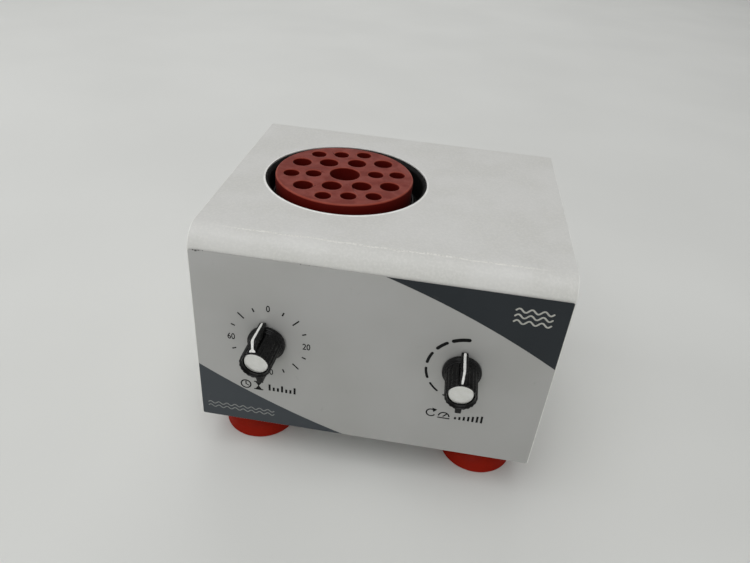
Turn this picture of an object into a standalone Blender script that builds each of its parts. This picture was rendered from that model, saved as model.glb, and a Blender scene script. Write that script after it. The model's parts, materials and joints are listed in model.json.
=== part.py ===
"""Vortex mixer with a tube rack, a timer and a speed control: a standalone Blender script.

Run it with blender --background --python part.py, or from Blender's text editor.
Lengths in the script are millimetres, and the helpers turn them into Blender's metres.
+Z is up, the front panel faces -Y, and z = 0 is the surface that the feet stand on.
"""

import math

import bmesh
import bpy
from mathutils import Matrix, Vector

MM = 0.001
GAP = 0.3  # left between pieces that touch
MERGE = 0.01  # points closer than this are one point
SMOOTH_ANGLE = math.radians(32)

# Driving dimensions of the housing
SHELL_WIDTH = 200
SHELL_DEPTH = 173.4
SHELL_HEIGHT = 129
BEND_RADIUS = 13
SHEET = 1.2
EDGE_RADIUS = 0.7
FOOT_HEIGHT = 26
LABEL_THICKNESS = 0.3
KNOB_REACH = 22  # from the front label's face to the knobs' faces
REAR_REACH = 5  # from the back of the shell to the raised end of the rocker

# Places that follow from them
LABEL_FACE = -(KNOB_REACH + LABEL_THICKNESS + GAP + SHELL_DEPTH + REAR_REACH) / 2 + KNOB_REACH
SHELL_FRONT = LABEL_FACE + LABEL_THICKNESS + GAP
SHELL_REAR = SHELL_FRONT + SHELL_DEPTH
SHELL_MIDDLE = (SHELL_FRONT + SHELL_REAR) / 2
SHELL_BOTTOM = FOOT_HEIGHT
SHELL_TOP = SHELL_BOTTOM + SHELL_HEIGHT
INSIDE_FRONT = SHELL_FRONT + SHEET
INSIDE_REAR = SHELL_REAR - SHEET
INSIDE_SIDE = SHELL_WIDTH / 2 - SHEET
SHEET_UNDERSIDE = SHELL_TOP - SHEET

# Base tray
BASE_BOTTOM = SHELL_BOTTOM + 0.5
BASE_TOP = BASE_BOTTOM + SHEET
BASE_SIDE = INSIDE_SIDE - GAP
FLANGE_HEIGHT = 14
FOOT_X = 72.2
FOOT_PITCH_Y = 107.8
FOOT_RADIUS = 22.8
COVER_SCREW_Z = SHELL_BOTTOM + 8
COVER_SCREW_PITCH = 120
M3, M4, M5 = 1.5, 2, 2.5  # shank radii of the screws
HOLE_PLAY = 0.3

# Shaking head: the motor's axis, and the crank pin's offset from it
HEAD_X, HEAD_Y = -31.5, SHELL_MIDDLE
ORBIT_X, ORBIT_Y = -1.2, -1.6
OPENING_RADIUS = 49.3
BOOT_INSIDE = 47
BOOT_WALL = 1.2
BOOT_SKIRT_RADIUS = 40  # the inner edge of the boot, under the tray
BOOT_FLANGE_RADIUS = 53.3
RACK_RADIUS = 41.9
RACK_THICKNESS = 14
RACK_TOP = SHELL_TOP + 3.2
RACK_BOTTOM = RACK_TOP - RACK_THICKNESS
RACK_TURN = math.radians(14)
TRAY_TOP = RACK_BOTTOM - GAP
TRAY_THICKNESS = 3
TRAY_LIP = 1.6
TRAY_UNDERSIDE = TRAY_TOP - TRAY_THICKNESS
TRAY_RADIUS = 43.6
BOSS_RADIUS = 12
BOSS_BOTTOM = 130
SPINDLE_RADIUS = 4
BEARING_BOTTOM, BEARING_TOP = 118.1, 125.1
BEARING_RADIUS = 11
RACE = 2  # radial thickness of each bearing ring
HUB_TOP = BEARING_TOP + GAP
HUB_SHOULDER = BEARING_BOTTOM - GAP
HUB_RADIUS = 16
HUB_WEB_BOTTOM = 108
HUB_BOTTOM = 94
WEIGHT_RADIUS = 26
SHAFT_RADIUS = 3
POST_CIRCLE = 34
POST_RADIUS = 5

# Tube holes: each row's distance from the centre row, its hole radius, and its places along the row
HOLE_ROWS = (
    (0, 4.8, (-32.2, -18.9, 18.9, 32.2)),
    (0, 9.2, (0,)),
    (16.6, 5.85, (-25.5, -8.8, 8.8, 25.5)),
    (-16.6, 5.85, (-25.5, -8.8, 8.8, 25.5)),
    (29.9, 4.7, (-14.5, 0, 14.5)),
    (-29.9, 4.7, (-14.5, 0, 14.5)),
)

# Motor and its bridge
MOTOR_RADIUS = 28
MOTOR_BOTTOM, MOTOR_TOP = 44, 84
BRIDGE_SHEET = 2
BRIDGE_TOP = 92.3
BRIDGE_LEG_X = 42
BRIDGE_DEPTH = 80
BRIDGE_FLANGE = 12
BRIDGE_SCREW_X = BRIDGE_LEG_X + BRIDGE_FLANGE / 2
BRIDGE_SCREW_Y = 28
MOTOR_SCREW_X = 20
FAN_BOTTOM, FAN_TOP = 34, 41
FAN_RADIUS = 23
FAN_BLADES = 7

# Controls
CONTROL_Z = SHELL_BOTTOM + 64.6
TIMER_X, SPEED_X = -57.7, 51
TIMER_POINTER = math.radians(8.5)  # anticlockwise from twelve o'clock, seen from the front
SPEED_POINTER = math.radians(1)
BUSH_RADIUS = 4.5
BUSH_REACH = 3.5
NUT_RADIUS = 6.9
NUT_THICKNESS = 2
SKIRT_RADIUS = 10.8
SKIRT_LIFT = 0.8
SKIRT_THICKNESS = 2.4
GRIP_RADIUS = 8.75
FLUTES = 20
FLUTE_DEPTH = 0.5
FIN_WIDTH = 3.8
FIN_REACH = 13.6
POINTER_DROP = (0.9, 4.8)  # from the knob's face to the two ends of the pointer's slope
TAIL_DROP = 2.5
CAP_RADIUS = 6.85
CAP_RECESS = 2.9
CAP_THICKNESS = 0.8
SHAFT_END = KNOB_REACH - 5.5

# Control board and what stands on it
BOARD = ((30, -30), (90, 50))  # two opposite corners
BOARD_BOTTOM, BOARD_THICKNESS = 36, 1.6
BOARD_TOP = BOARD_BOTTOM + BOARD_THICKNESS
SPACER_INSET = 5

# Rear fittings
INLET_X, INLET_Z = 52, 70
INLET_FLANGE = (34, 42, 2.7)
INLET_BODY = (28, 36, 18)
SOCKET = (24.6, 16.6, 15.5)
SOCKET_RAISE, DRAWER_DROP = 6, 11.5
DRAWER = (23.4, 8.4, 16)
SWITCH_X, SWITCH_Z = 14, 76
SWITCH_BEZEL = (15, 21, 2)
SWITCH_BODY = (12.8, 19, 12)
ROCKER = (9.4, 14)
ROCKER_TILT = math.radians(8)
ROCKER_PIVOT = SHELL_REAR + 0.8


# ---------------------------------------------------------------- helpers


def metres(x, y, z):
    return Vector((x, y, z)) * MM


def clear_scene():
    for obj in list(bpy.data.objects):
        bpy.data.objects.remove(obj, do_unlink=True)


def make_material(name, colour, roughness, metallic=0.0):
    material = bpy.data.materials.new(name)
    material.use_nodes = True
    shader = material.node_tree.nodes["Principled BSDF"]
    shader.inputs["Base Color"].default_value = (*colour, 1)
    shader.inputs["Roughness"].default_value = roughness
    shader.inputs["Metallic"].default_value = metallic
    material.diffuse_color = (*colour, 1)
    return material


def finished(bm):
    """The mesh of a bmesh, with its normals facing out and its round faces smooth."""
    bmesh.ops.remove_doubles(bm, verts=bm.verts, dist=MERGE * MM)
    bmesh.ops.recalc_face_normals(bm, faces=bm.faces)
    mesh = bpy.data.meshes.new("mesh")
    bm.to_mesh(mesh)
    bm.free()
    mesh.shade_smooth()
    mesh.set_sharp_from_angle(angle=SMOOTH_ANGLE)
    return mesh


def turned_mesh(profile, steps=32):
    """A (radius, height) profile turned about Z. It closes on itself unless both its ends are on the axis."""
    bm = bmesh.new()
    corners = [bm.verts.new(metres(radius, 0, height)) for radius, height in profile]
    edges = [bm.edges.new(pair) for pair in zip(corners, corners[1:])]
    if profile[0][0] > 0 or profile[-1][0] > 0:
        edges.append(bm.edges.new((corners[-1], corners[0])))
    bmesh.ops.spin(
        bm,
        geom=corners + edges,
        cent=(0, 0, 0),
        axis=(0, 0, 1),
        angle=math.tau,
        steps=steps,
        use_merge=True,
    )
    return finished(bm)


def extruded(corners, along):
    """A bmesh of the face with these corners, drawn out along a vector."""
    bm = bmesh.new()
    face = bm.faces.new([bm.verts.new(corner) for corner in corners])
    grown = bmesh.ops.extrude_face_region(bm, geom=[face])
    moved = [item for item in grown["geom"] if isinstance(item, bmesh.types.BMVert)]
    bmesh.ops.translate(bm, verts=moved, vec=along)
    return bm


def prism_mesh(outline, bottom, top):
    """An outline of (x, y) points, from one height to another."""
    corners = [metres(x, y, bottom) for x, y in outline]
    return finished(extruded(corners, metres(0, 0, top - bottom)))


def drawn_across(outline, width):
    """A bmesh of an outline of (y, z) points, drawn along X across a width centred on 0."""
    corners = [metres(-width / 2, y, z) for y, z in outline]
    return extruded(corners, metres(width, 0, 0))


def hexagon(radius):
    corners = (math.tau * corner / 6 for corner in range(6))
    return [(radius * math.cos(turn), radius * math.sin(turn)) for turn in corners]


def rods_mesh(rods, steps=16):
    """Closed cylinders in one mesh, each given by its two ends and its radius."""
    bm = bmesh.new()
    for start, end, radius in rods:
        along = metres(*end) - metres(*start)
        middle = (metres(*end) + metres(*start)) / 2
        turn = along.to_track_quat("Z", "Y").to_matrix().to_4x4()
        bmesh.ops.create_cone(
            bm,
            cap_ends=True,
            segments=steps,
            radius1=radius * MM,
            radius2=radius * MM,
            depth=along.length,
            matrix=Matrix.Translation(middle) @ turn,
        )
    return finished(bm)


def blocks_mesh(blocks, bevel=0.0):
    """Closed boxes in one mesh, each given by its centre and its size, with bevelled edges if asked."""
    bm = bmesh.new()
    for centre, size in blocks:
        grown = Matrix.Diagonal((*metres(*size), 1))
        bmesh.ops.create_cube(bm, size=1, matrix=Matrix.Translation(metres(*centre)) @ grown)
    if bevel:
        bmesh.ops.bevel(bm, geom=bm.edges, offset=bevel * MM, segments=1, affect="EDGES")
    return finished(bm)


def arc(centre, radius, start, end, steps):
    """Points on an arc from one angle to another, in degrees."""
    points = []
    for step in range(steps + 1):
        turn = math.radians(start + (end - start) * step / steps)
        points.append((centre[0] + radius * math.cos(turn), centre[1] + radius * math.sin(turn)))
    return points


def add(name, mesh, material, place=(0, 0, 0), turn=(0, 0, 0), parent=None):
    """A node, placed in millimetres from its parent and turned by Euler angles."""
    mesh.name = name
    if not mesh.materials:
        mesh.materials.append(material)
    obj = bpy.data.objects.new(name, mesh)
    bpy.context.scene.collection.objects.link(obj)
    obj.location = metres(*place)
    obj.rotation_euler = turn
    obj.parent = parent
    return obj


def add_pivot(name, place, turn=(0, 0, 0), parent=None):
    """An empty on a joint's axis."""
    pivot = bpy.data.objects.new(name, None)
    bpy.context.scene.collection.objects.link(pivot)
    pivot.empty_display_size = 10 * MM
    pivot.location = metres(*place)
    pivot.rotation_euler = turn
    pivot.parent = parent
    return pivot


def combine(obj, mesh, operation, place=None, turn=(0, 0, 0)):
    """Cuts a hidden mesh from an object, or joins it on. The mesh is in the object's own axes
    unless it is given a place of its own, which is then in the world's."""
    tool = bpy.data.objects.new(f"{obj.name}_{operation.lower()}", mesh)
    bpy.context.scene.collection.objects.link(tool)
    tool.hide_render = True
    tool.display_type = "WIRE"
    if place is None:
        tool.parent = obj
    else:
        tool.location = metres(*place)
        tool.rotation_euler = turn
    change = obj.modifiers.new(operation.title(), "BOOLEAN")
    change.operation = operation
    change.solver = "EXACT"
    change.object = tool


def cut(obj, mesh, **where):
    combine(obj, mesh, "DIFFERENCE", **where)


def join(obj, mesh, **where):
    combine(obj, mesh, "UNION", **where)


WORLD = {"place": (0, 0, 0)}
FACING_FRONT = (math.pi / 2, 0, 0)  # turns a piece's own +Z to the world's -Y
BOTH = (-1, 1)


def four_corners(x, y):
    return [(side * x, end * y) for side in BOTH for end in BOTH]


def pan_screw_mesh(shank, length, head_radius, head_height):
    """A pan-head screw whose shank points down from the head's seat at height 0."""
    profile = [
        (0, -length),
        (shank, -length),
        (shank, 0),
        (head_radius, 0),
        (head_radius, head_height * 0.45),
        (head_radius * 0.72, head_height * 0.9),
        (0, head_height),
    ]
    return turned_mesh(profile, 12)


# ---------------------------------------------------------------- housing


def side_outline(front, rear, bottom, top, radius):
    """The housing's outline seen from the side, as (y, z) points: a box with its two top bends."""
    front_bend = arc((front + radius, top - radius), radius, 180, 90, 9)
    rear_bend = arc((rear - radius, top - radius), radius, 90, 0, 9)
    return [(front, bottom), *front_bend, *rear_bend, (rear, bottom)]


def folded_mesh(outline, width, edge_radius=0.0):
    """A (y, z) outline drawn across the housing, with its long side edges rounded if asked."""
    bm = drawn_across(outline, width)
    if edge_radius:
        lowest = min(z for _, z in outline) * MM
        edges = [
            edge
            for edge in bm.edges
            if abs(edge.verts[0].co.x - edge.verts[1].co.x) < MERGE * MM
            and max(vert.co.z for vert in edge.verts) > lowest + MERGE * MM
        ]
        bmesh.ops.bevel(
            bm,
            geom=edges,
            offset=edge_radius * MM,
            segments=2,
            profile=0.5,
            affect="EDGES",
        )
    return finished(bm)


def housing_shell(paint):
    outline = side_outline(SHELL_FRONT, SHELL_REAR, SHELL_BOTTOM, SHELL_TOP, BEND_RADIUS)
    shell = add("housing_shell", folded_mesh(outline, SHELL_WIDTH, EDGE_RADIUS), paint)
    hollow = side_outline(
        INSIDE_FRONT, INSIDE_REAR, SHELL_BOTTOM - 5, SHEET_UNDERSIDE, BEND_RADIUS - SHEET
    )
    cut(shell, folded_mesh(hollow, 2 * INSIDE_SIDE))
    head = [((HEAD_X, HEAD_Y, SHELL_TOP - 20), (HEAD_X, HEAD_Y, SHELL_TOP + 5), OPENING_RADIUS)]
    cut(shell, rods_mesh(head, 48))
    cut(shell, rods_mesh(bush_holes(), 16))
    cut(shell, rods_mesh(cover_screw_holes(), 12))
    cut(shell, blocks_mesh(rear_cutouts() + rear_vents()))


def bush_holes():
    """The holes in the front that the two controls' bushes come through."""
    front, rear = LABEL_FACE - 5, SHELL_FRONT + 5
    radius = BUSH_RADIUS + HOLE_PLAY
    return [((x, front, CONTROL_Z), (x, rear, CONTROL_Z), radius) for x in (TIMER_X, SPEED_X)]


def cover_screw_places():
    """Where each cover screw meets the housing's side, as (side, y)."""
    return four_corners(1, COVER_SCREW_PITCH / 2)


def cover_screw_holes():
    inner, outer = SHELL_WIDTH / 2 - 6, SHELL_WIDTH / 2 + 6
    radius = M3 + HOLE_PLAY
    return [
        (
            (side * inner, SHELL_MIDDLE + y, COVER_SCREW_Z),
            (side * outer, SHELL_MIDDLE + y, COVER_SCREW_Z),
            radius,
        )
        for side, y in cover_screw_places()
    ]


def rear_cutouts():
    """Rectangular holes that the inlet and the switch snap into."""
    fittings = ((INLET_X, INLET_Z, INLET_BODY), (SWITCH_X, SWITCH_Z, SWITCH_BODY))
    return [
        ((x, SHELL_REAR, z), (width + 2 * HOLE_PLAY, 10, height + 2 * HOLE_PLAY))
        for x, z, (width, height, _) in fittings
    ]


def rear_vents():
    """Two rows of cooling slots in the back."""
    first, pitch, columns = -80, 8, 9
    slot_size = (3, 10, 24)
    return [
        ((first + pitch * column, SHELL_REAR, height), slot_size)
        for column in range(columns)
        for height in (62, 96)
    ]


def front_label(film):
    """The printed film that covers the front."""
    margin, corner, height = 0.5, 1.0, 118.4
    half = SHELL_WIDTH / 2 - margin
    low, high = SHELL_BOTTOM + margin, SHELL_BOTTOM + height
    outline = [
        *arc((half - corner, low + corner), corner, -90, 0, 3),
        *arc((half - corner, high - corner), corner, 0, 90, 3),
        *arc((corner - half, high - corner), corner, 90, 180, 3),
        *arc((corner - half, low + corner), corner, 180, 270, 3),
    ]
    mesh = prism_mesh(outline, 0, LABEL_THICKNESS)
    label = add("front_label", mesh, film, (0, LABEL_FACE + LABEL_THICKNESS, 0), FACING_FRONT)
    cut(label, rods_mesh(bush_holes(), 16), **WORLD)


def base_plate(steel):
    """The bottom tray, with a flange up each side for the cover's screws."""
    top = BASE_BOTTOM + FLANGE_HEIGHT
    inner = BASE_SIDE - SHEET
    bend = 2.0
    outline = [
        (-BASE_SIDE, top),
        *arc((bend - BASE_SIDE, BASE_BOTTOM + bend), bend, 180, 270, 4),
        *arc((BASE_SIDE - bend, BASE_BOTTOM + bend), bend, 270, 360, 4),
        (BASE_SIDE, top),
        (inner, top),
        *arc((inner - bend + SHEET, BASE_TOP + bend - SHEET), bend - SHEET, 360, 270, 4),
        *arc((bend - SHEET - inner, BASE_TOP + bend - SHEET), bend - SHEET, 270, 180, 4),
        (-inner, top),
    ]
    front = INSIDE_FRONT + GAP
    rear = INSIDE_REAR - GAP
    mesh = prism_mesh(outline, -rear, -front)
    base = add("base_plate", mesh, steel, (0, 0, 0), FACING_FRONT)
    below, above = BASE_BOTTOM - 5, BASE_TOP + 5
    holes = [((x, y, below), (x, y, above), M5 + HOLE_PLAY) for x, y in foot_places()]
    holes += [((x, y, below), (x, y, above), M4 + HOLE_PLAY) for x, y in bridge_screw_places()]
    cut(base, rods_mesh(holes, 12), **WORLD)
    cut(base, rods_mesh(cover_screw_holes(), 12), **WORLD)
    slots = [((HEAD_X + 7 * column, HEAD_Y, BASE_TOP), (3.5, 32, 10)) for column in range(-2, 3)]
    cut(base, blocks_mesh(slots), **WORLD)


def cover_screws(steel):
    mesh = pan_screw_mesh(M3, 6, 2.8, 1.9)
    seat = SHELL_WIDTH / 2 + GAP
    for number, (side, y) in enumerate(cover_screw_places(), 1):
        place = (side * seat, SHELL_MIDDLE + y, COVER_SCREW_Z)
        add(f"cover_screw_{number}", mesh, steel, place, (0, side * math.pi / 2, 0))


# ---------------------------------------------------------------- feet


def foot_places():
    return [(x, SHELL_MIDDLE + y) for x, y in four_corners(FOOT_X, FOOT_PITCH_Y / 2)]


def suction_feet(rubber, steel):
    """Rubber suction cups, each held by a screw from inside the base tray."""
    top = BASE_BOTTOM - GAP
    neck, screw_depth = 8.5, 10
    outside = [(FOOT_RADIUS, 0), (FOOT_RADIUS, 1.2)]
    outside += [
        (neck + (FOOT_RADIUS - neck) * math.cos(turn) ** 1.6, 1.2 + 15.5 * math.sin(turn) ** 1.1)
        for turn in (math.radians(angle) for angle in (25, 48, 70, 90))
    ]
    inside = [(9.0, 7.2), (15.5, 5.0), (FOOT_RADIUS - 1.6, 0)]
    bore = M5 + HOLE_PLAY
    profile = [
        (0, 8.0),
        *inside,
        *outside,
        (neck, 19),
        (neck + 1.5, 21),
        (neck + 1.5, top),
        (bore, top),
        (bore, top - screw_depth - GAP),
        (0, top - screw_depth - GAP),
    ]
    cup = turned_mesh(profile, 20)
    screw = pan_screw_mesh(M5, BASE_TOP + GAP - (top - screw_depth), 4.5, 3)
    for number, (x, y) in enumerate(foot_places(), 1):
        add(f"suction_foot_{number}", cup, rubber, (x, y, 0))
        add(f"foot_screw_{number}", screw, steel, (x, y, BASE_TOP + GAP))


# ---------------------------------------------------------------- shaking head


def dust_boot(rubber):
    """The black boot that lines the opening's edge and closes the gap round the moving tray."""
    collar = OPENING_RADIUS - GAP
    collar_top = SHELL_TOP - 0.2
    flange_top = SHEET_UNDERSIDE - GAP
    floor = TRAY_UNDERSIDE - 3.8
    profile = [
        (collar, collar_top),
        (collar - 0.7, collar_top),
        (BOOT_INSIDE, collar_top - 2),
        (BOOT_INSIDE, floor + BOOT_WALL),
        (BOOT_SKIRT_RADIUS + BOOT_WALL, floor + BOOT_WALL),
        (BOOT_SKIRT_RADIUS + BOOT_WALL, TRAY_UNDERSIDE - 0.5),
        (BOOT_SKIRT_RADIUS, TRAY_UNDERSIDE - 0.5),
        (BOOT_SKIRT_RADIUS, floor),
        (BOOT_INSIDE + BOOT_WALL, floor),
        (BOOT_INSIDE + BOOT_WALL, flange_top - BOOT_WALL),
        (BOOT_FLANGE_RADIUS, flange_top - BOOT_WALL),
        (BOOT_FLANGE_RADIUS, flange_top),
        (collar, flange_top),
    ]
    add("dust_boot", turned_mesh(profile, 36), rubber, (HEAD_X, HEAD_Y, 0))


def tube_holes():
    """Each tube hole's place on the rack and its radius, with the rows turned as they stand at rest."""
    holes = []
    for across, radius, row in HOLE_ROWS:
        for along in row:
            x = along * math.cos(RACK_TURN) - across * math.sin(RACK_TURN)
            y = along * math.sin(RACK_TURN) + across * math.cos(RACK_TURN)
            holes.append((x, y, radius))
    return holes


def rack_disc(silicone, parent):
    """The soft disc that holds the tubes. It lifts out of the tray."""
    edge = 0.6
    profile = [
        (0, RACK_BOTTOM),
        (RACK_RADIUS - edge, RACK_BOTTOM),
        (RACK_RADIUS, RACK_BOTTOM + edge),
        (RACK_RADIUS, RACK_TOP - edge),
        (RACK_RADIUS - edge, RACK_TOP),
        (0, RACK_TOP),
    ]
    disc = add("rack_disc", turned_mesh(profile, 48), silicone, parent=parent)
    for large in (False, True):
        holes = [
            ((x, y, RACK_BOTTOM - 2), (x, y, RACK_TOP + 2), radius)
            for x, y, radius in tube_holes()
            if (radius > 5) == large
        ]
        cut(disc, rods_mesh(holes, 16 if large else 12))


def platform_tray(plastic, parent):
    """The dish under the rack, with a boss below that takes the spindle."""
    screw = M5 + HOLE_PLAY
    bore = SPINDLE_RADIUS + GAP
    spindle_seat = TRAY_UNDERSIDE - 0.7
    rim_top = TRAY_TOP + TRAY_LIP
    profile = [
        (screw + 2.5, TRAY_TOP),
        (RACK_RADIUS + GAP, TRAY_TOP),
        (RACK_RADIUS + GAP, rim_top),
        (TRAY_RADIUS - 0.4, rim_top),
        (TRAY_RADIUS, rim_top - 0.4),
        (TRAY_RADIUS, TRAY_UNDERSIDE),
        (BOSS_RADIUS, TRAY_UNDERSIDE),
        (BOSS_RADIUS, BOSS_BOTTOM),
        (bore, BOSS_BOTTOM),
        (bore, spindle_seat),
        (screw, spindle_seat),
        (screw, TRAY_TOP - 2.5),
    ]
    add("platform_tray", turned_mesh(profile, 32), plastic, parent=parent)


def tray_screw(steel, parent):
    """The countersunk screw that holds the tray on its spindle."""
    head = 5.0
    tip = 126
    face = TRAY_TOP - 0.1
    profile = [
        (0, tip),
        (M5, tip),
        (M5, face - head + M5),
        (head, face),
        (1.5, face),
        (1.5, face - 2),
        (0, face - 2),
    ]
    add("tray_screw", turned_mesh(profile, 18), steel, parent=parent)


def spindle(steel, parent):
    """The crank pin that the platform turns on."""
    bore = M5 + HOLE_PLAY
    shoulder = 6
    seat = HUB_TOP
    top = TRAY_UNDERSIDE - 1
    profile = [
        (0, HUB_SHOULDER - 5),
        (SPINDLE_RADIUS, HUB_SHOULDER - 5),
        (SPINDLE_RADIUS, seat),
        (shoulder, seat),
        (shoulder, BOSS_BOTTOM - GAP),
        (SPINDLE_RADIUS, BOSS_BOTTOM - GAP),
        (SPINDLE_RADIUS, top),
        (bore, top),
        (bore, 125.5),
        (0, 125.5),
    ]
    add("spindle", turned_mesh(profile, 20), steel, parent=parent)


def bearing_inner_ring(steel, parent):
    bore = SPINDLE_RADIUS + GAP
    profile = [
        (bore, BEARING_BOTTOM),
        (bore + RACE, BEARING_BOTTOM),
        (bore + RACE, BEARING_TOP),
        (bore, BEARING_TOP),
    ]
    add("bearing_inner_ring", turned_mesh(profile, 18), steel, parent=parent)


def bearing_outer_ring(steel, parent):
    """The outer ring with its two shields."""
    shield = 0.6
    shield_edge = SPINDLE_RADIUS + GAP + RACE + 0.4
    race = BEARING_RADIUS - RACE
    profile = [
        (BEARING_RADIUS, BEARING_BOTTOM),
        (BEARING_RADIUS, BEARING_TOP),
        (shield_edge, BEARING_TOP),
        (shield_edge, BEARING_TOP - shield),
        (race, BEARING_TOP - shield),
        (race, BEARING_BOTTOM + shield),
        (shield_edge, BEARING_BOTTOM + shield),
        (shield_edge, BEARING_BOTTOM),
    ]
    ring = turned_mesh(profile, 20)
    add("bearing_outer_ring", ring, steel, (ORBIT_X, ORBIT_Y, 0), parent=parent)


def crank_hub(iron, parent):
    """The eccentric hub on the motor's shaft, with its counterweight opposite the crank pin."""
    boss = 9
    body = [
        (0, HUB_BOTTOM),
        (boss, HUB_BOTTOM),
        (boss, HUB_WEB_BOTTOM),
        (HUB_RADIUS, HUB_WEB_BOTTOM),
        (HUB_RADIUS, HUB_TOP),
        (0, HUB_TOP),
    ]
    hub = add("crank_hub", turned_mesh(body, 24), iron, parent=parent)
    pin_angle = math.degrees(math.atan2(ORBIT_Y, ORBIT_X))
    outer = arc((0, 0), WEIGHT_RADIUS, pin_angle + 100, pin_angle + 260, 12)
    inner = arc((0, 0), HUB_RADIUS - 3, pin_angle + 260, pin_angle + 100, 8)
    join(hub, prism_mesh(outer + inner, HUB_WEB_BOTTOM + 0.5, HUB_WEB_BOTTOM + 8))
    seat = ((ORBIT_X, ORBIT_Y, HUB_SHOULDER), (ORBIT_X, ORBIT_Y, HUB_TOP + 5))
    cut(hub, rods_mesh([(*seat, BEARING_RADIUS + GAP)], 20))
    relief = ((ORBIT_X, ORBIT_Y, HUB_SHOULDER - 6), (ORBIT_X, ORBIT_Y, HUB_TOP))
    cut(hub, rods_mesh([(*relief, SPINDLE_RADIUS + 1)], 16))
    cut(hub, rods_mesh([((0, 0, HUB_BOTTOM - 5), (0, 0, HUB_WEB_BOTTOM), SHAFT_RADIUS + GAP)], 16))
    screw = ((SHAFT_RADIUS, 0, HUB_BOTTOM + 6), (boss + 5, 0, HUB_BOTTOM + 6), M3 + HOLE_PLAY)
    cut(hub, rods_mesh([screw], 12))


def hub_set_screw(steel, parent):
    profile = [(0, 3.6), (1, 3.6), (M3, 4.1), (M3, 8.6), (0.9, 8.6), (0.9, 7.4), (0, 7.4)]
    place = (0, 0, HUB_BOTTOM + 6)
    add("hub_set_screw", turned_mesh(profile, 12), steel, place, (0, math.pi / 2, 0), parent)


def motor_shaft(steel, parent):
    rod = ((0, 0, FAN_BOTTOM - 1), (0, 0, HUB_WEB_BOTTOM - 0.5), SHAFT_RADIUS)
    add("motor_shaft", rods_mesh([rod], 16), steel, parent=parent)


def cooling_fan(plastic, parent):
    """The fan under the motor, with slanted blades."""
    hub_radius = 8
    middle = (FAN_BOTTOM + FAN_TOP) / 2
    bore = SHAFT_RADIUS + GAP
    ring = [
        (bore, FAN_BOTTOM),
        (hub_radius, FAN_BOTTOM),
        (hub_radius, FAN_TOP),
        (bore, FAN_TOP),
    ]
    fan = add("cooling_fan", turned_mesh(ring, 16), plastic, parent=parent)
    bm = bmesh.new()
    for blade in range(FAN_BLADES):
        inner = hub_radius - 2
        size = metres(FAN_RADIUS - inner, 1.2, 7.5)
        place = metres((FAN_RADIUS + inner) / 2, 0, 0)
        matrix = (
            Matrix.Translation(metres(0, 0, middle))
            @ Matrix.Rotation(math.tau * blade / FAN_BLADES, 4, "Z")
            @ Matrix.Translation(place)
            @ Matrix.Rotation(math.radians(35), 4, "X")
            @ Matrix.Diagonal((*size, 1))
        )
        bmesh.ops.create_cube(bm, size=1, matrix=matrix)
    join(fan, finished(bm))


def motor(steel, cast):
    """The motor's can and its upper end bell."""
    bore = SHAFT_RADIUS + GAP
    bearing_boss = 9
    can = [
        (bore, MOTOR_BOTTOM - 2.2),
        (bearing_boss, MOTOR_BOTTOM - 2.2),
        (bearing_boss, MOTOR_BOTTOM),
        (MOTOR_RADIUS - 2, MOTOR_BOTTOM),
        (MOTOR_RADIUS, MOTOR_BOTTOM + 2),
        (MOTOR_RADIUS, MOTOR_TOP),
        (bore, MOTOR_TOP),
    ]
    add("motor_body", turned_mesh(can, 24), steel, (HEAD_X, HEAD_Y, 0))
    bell_top = BRIDGE_TOP - BRIDGE_SHEET - GAP
    bell = [
        (bore, MOTOR_TOP + GAP),
        (MOTOR_RADIUS, MOTOR_TOP + GAP),
        (MOTOR_RADIUS, bell_top - 2),
        (MOTOR_RADIUS - 2, bell_top),
        (bearing_boss, bell_top),
        (bearing_boss, BRIDGE_TOP + 0.5),
        (bore, BRIDGE_TOP + 0.5),
    ]
    cap = add("motor_end_bell", turned_mesh(bell, 24), cast, (HEAD_X, HEAD_Y, 0))
    cut(cap, rods_mesh(motor_screw_holes(bell_top - 4, bell_top + 5), 12), **WORLD)
    screw = pan_screw_mesh(M4, 5.5, 3.8, 2.6)
    for number, side in enumerate(BOTH, 1):
        place = (HEAD_X + side * MOTOR_SCREW_X, HEAD_Y, BRIDGE_TOP + GAP)
        add(f"motor_screw_{number}", screw, steel, place)


def motor_screw_holes(bottom, top):
    places = [HEAD_X + side * MOTOR_SCREW_X for side in BOTH]
    return [((x, HEAD_Y, bottom), (x, HEAD_Y, top), M4 + HOLE_PLAY) for x in places]


def bridge_screw_places():
    corners = four_corners(BRIDGE_SCREW_X, BRIDGE_SCREW_Y)
    return [(HEAD_X + x, HEAD_Y + y) for x, y in corners]


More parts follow.
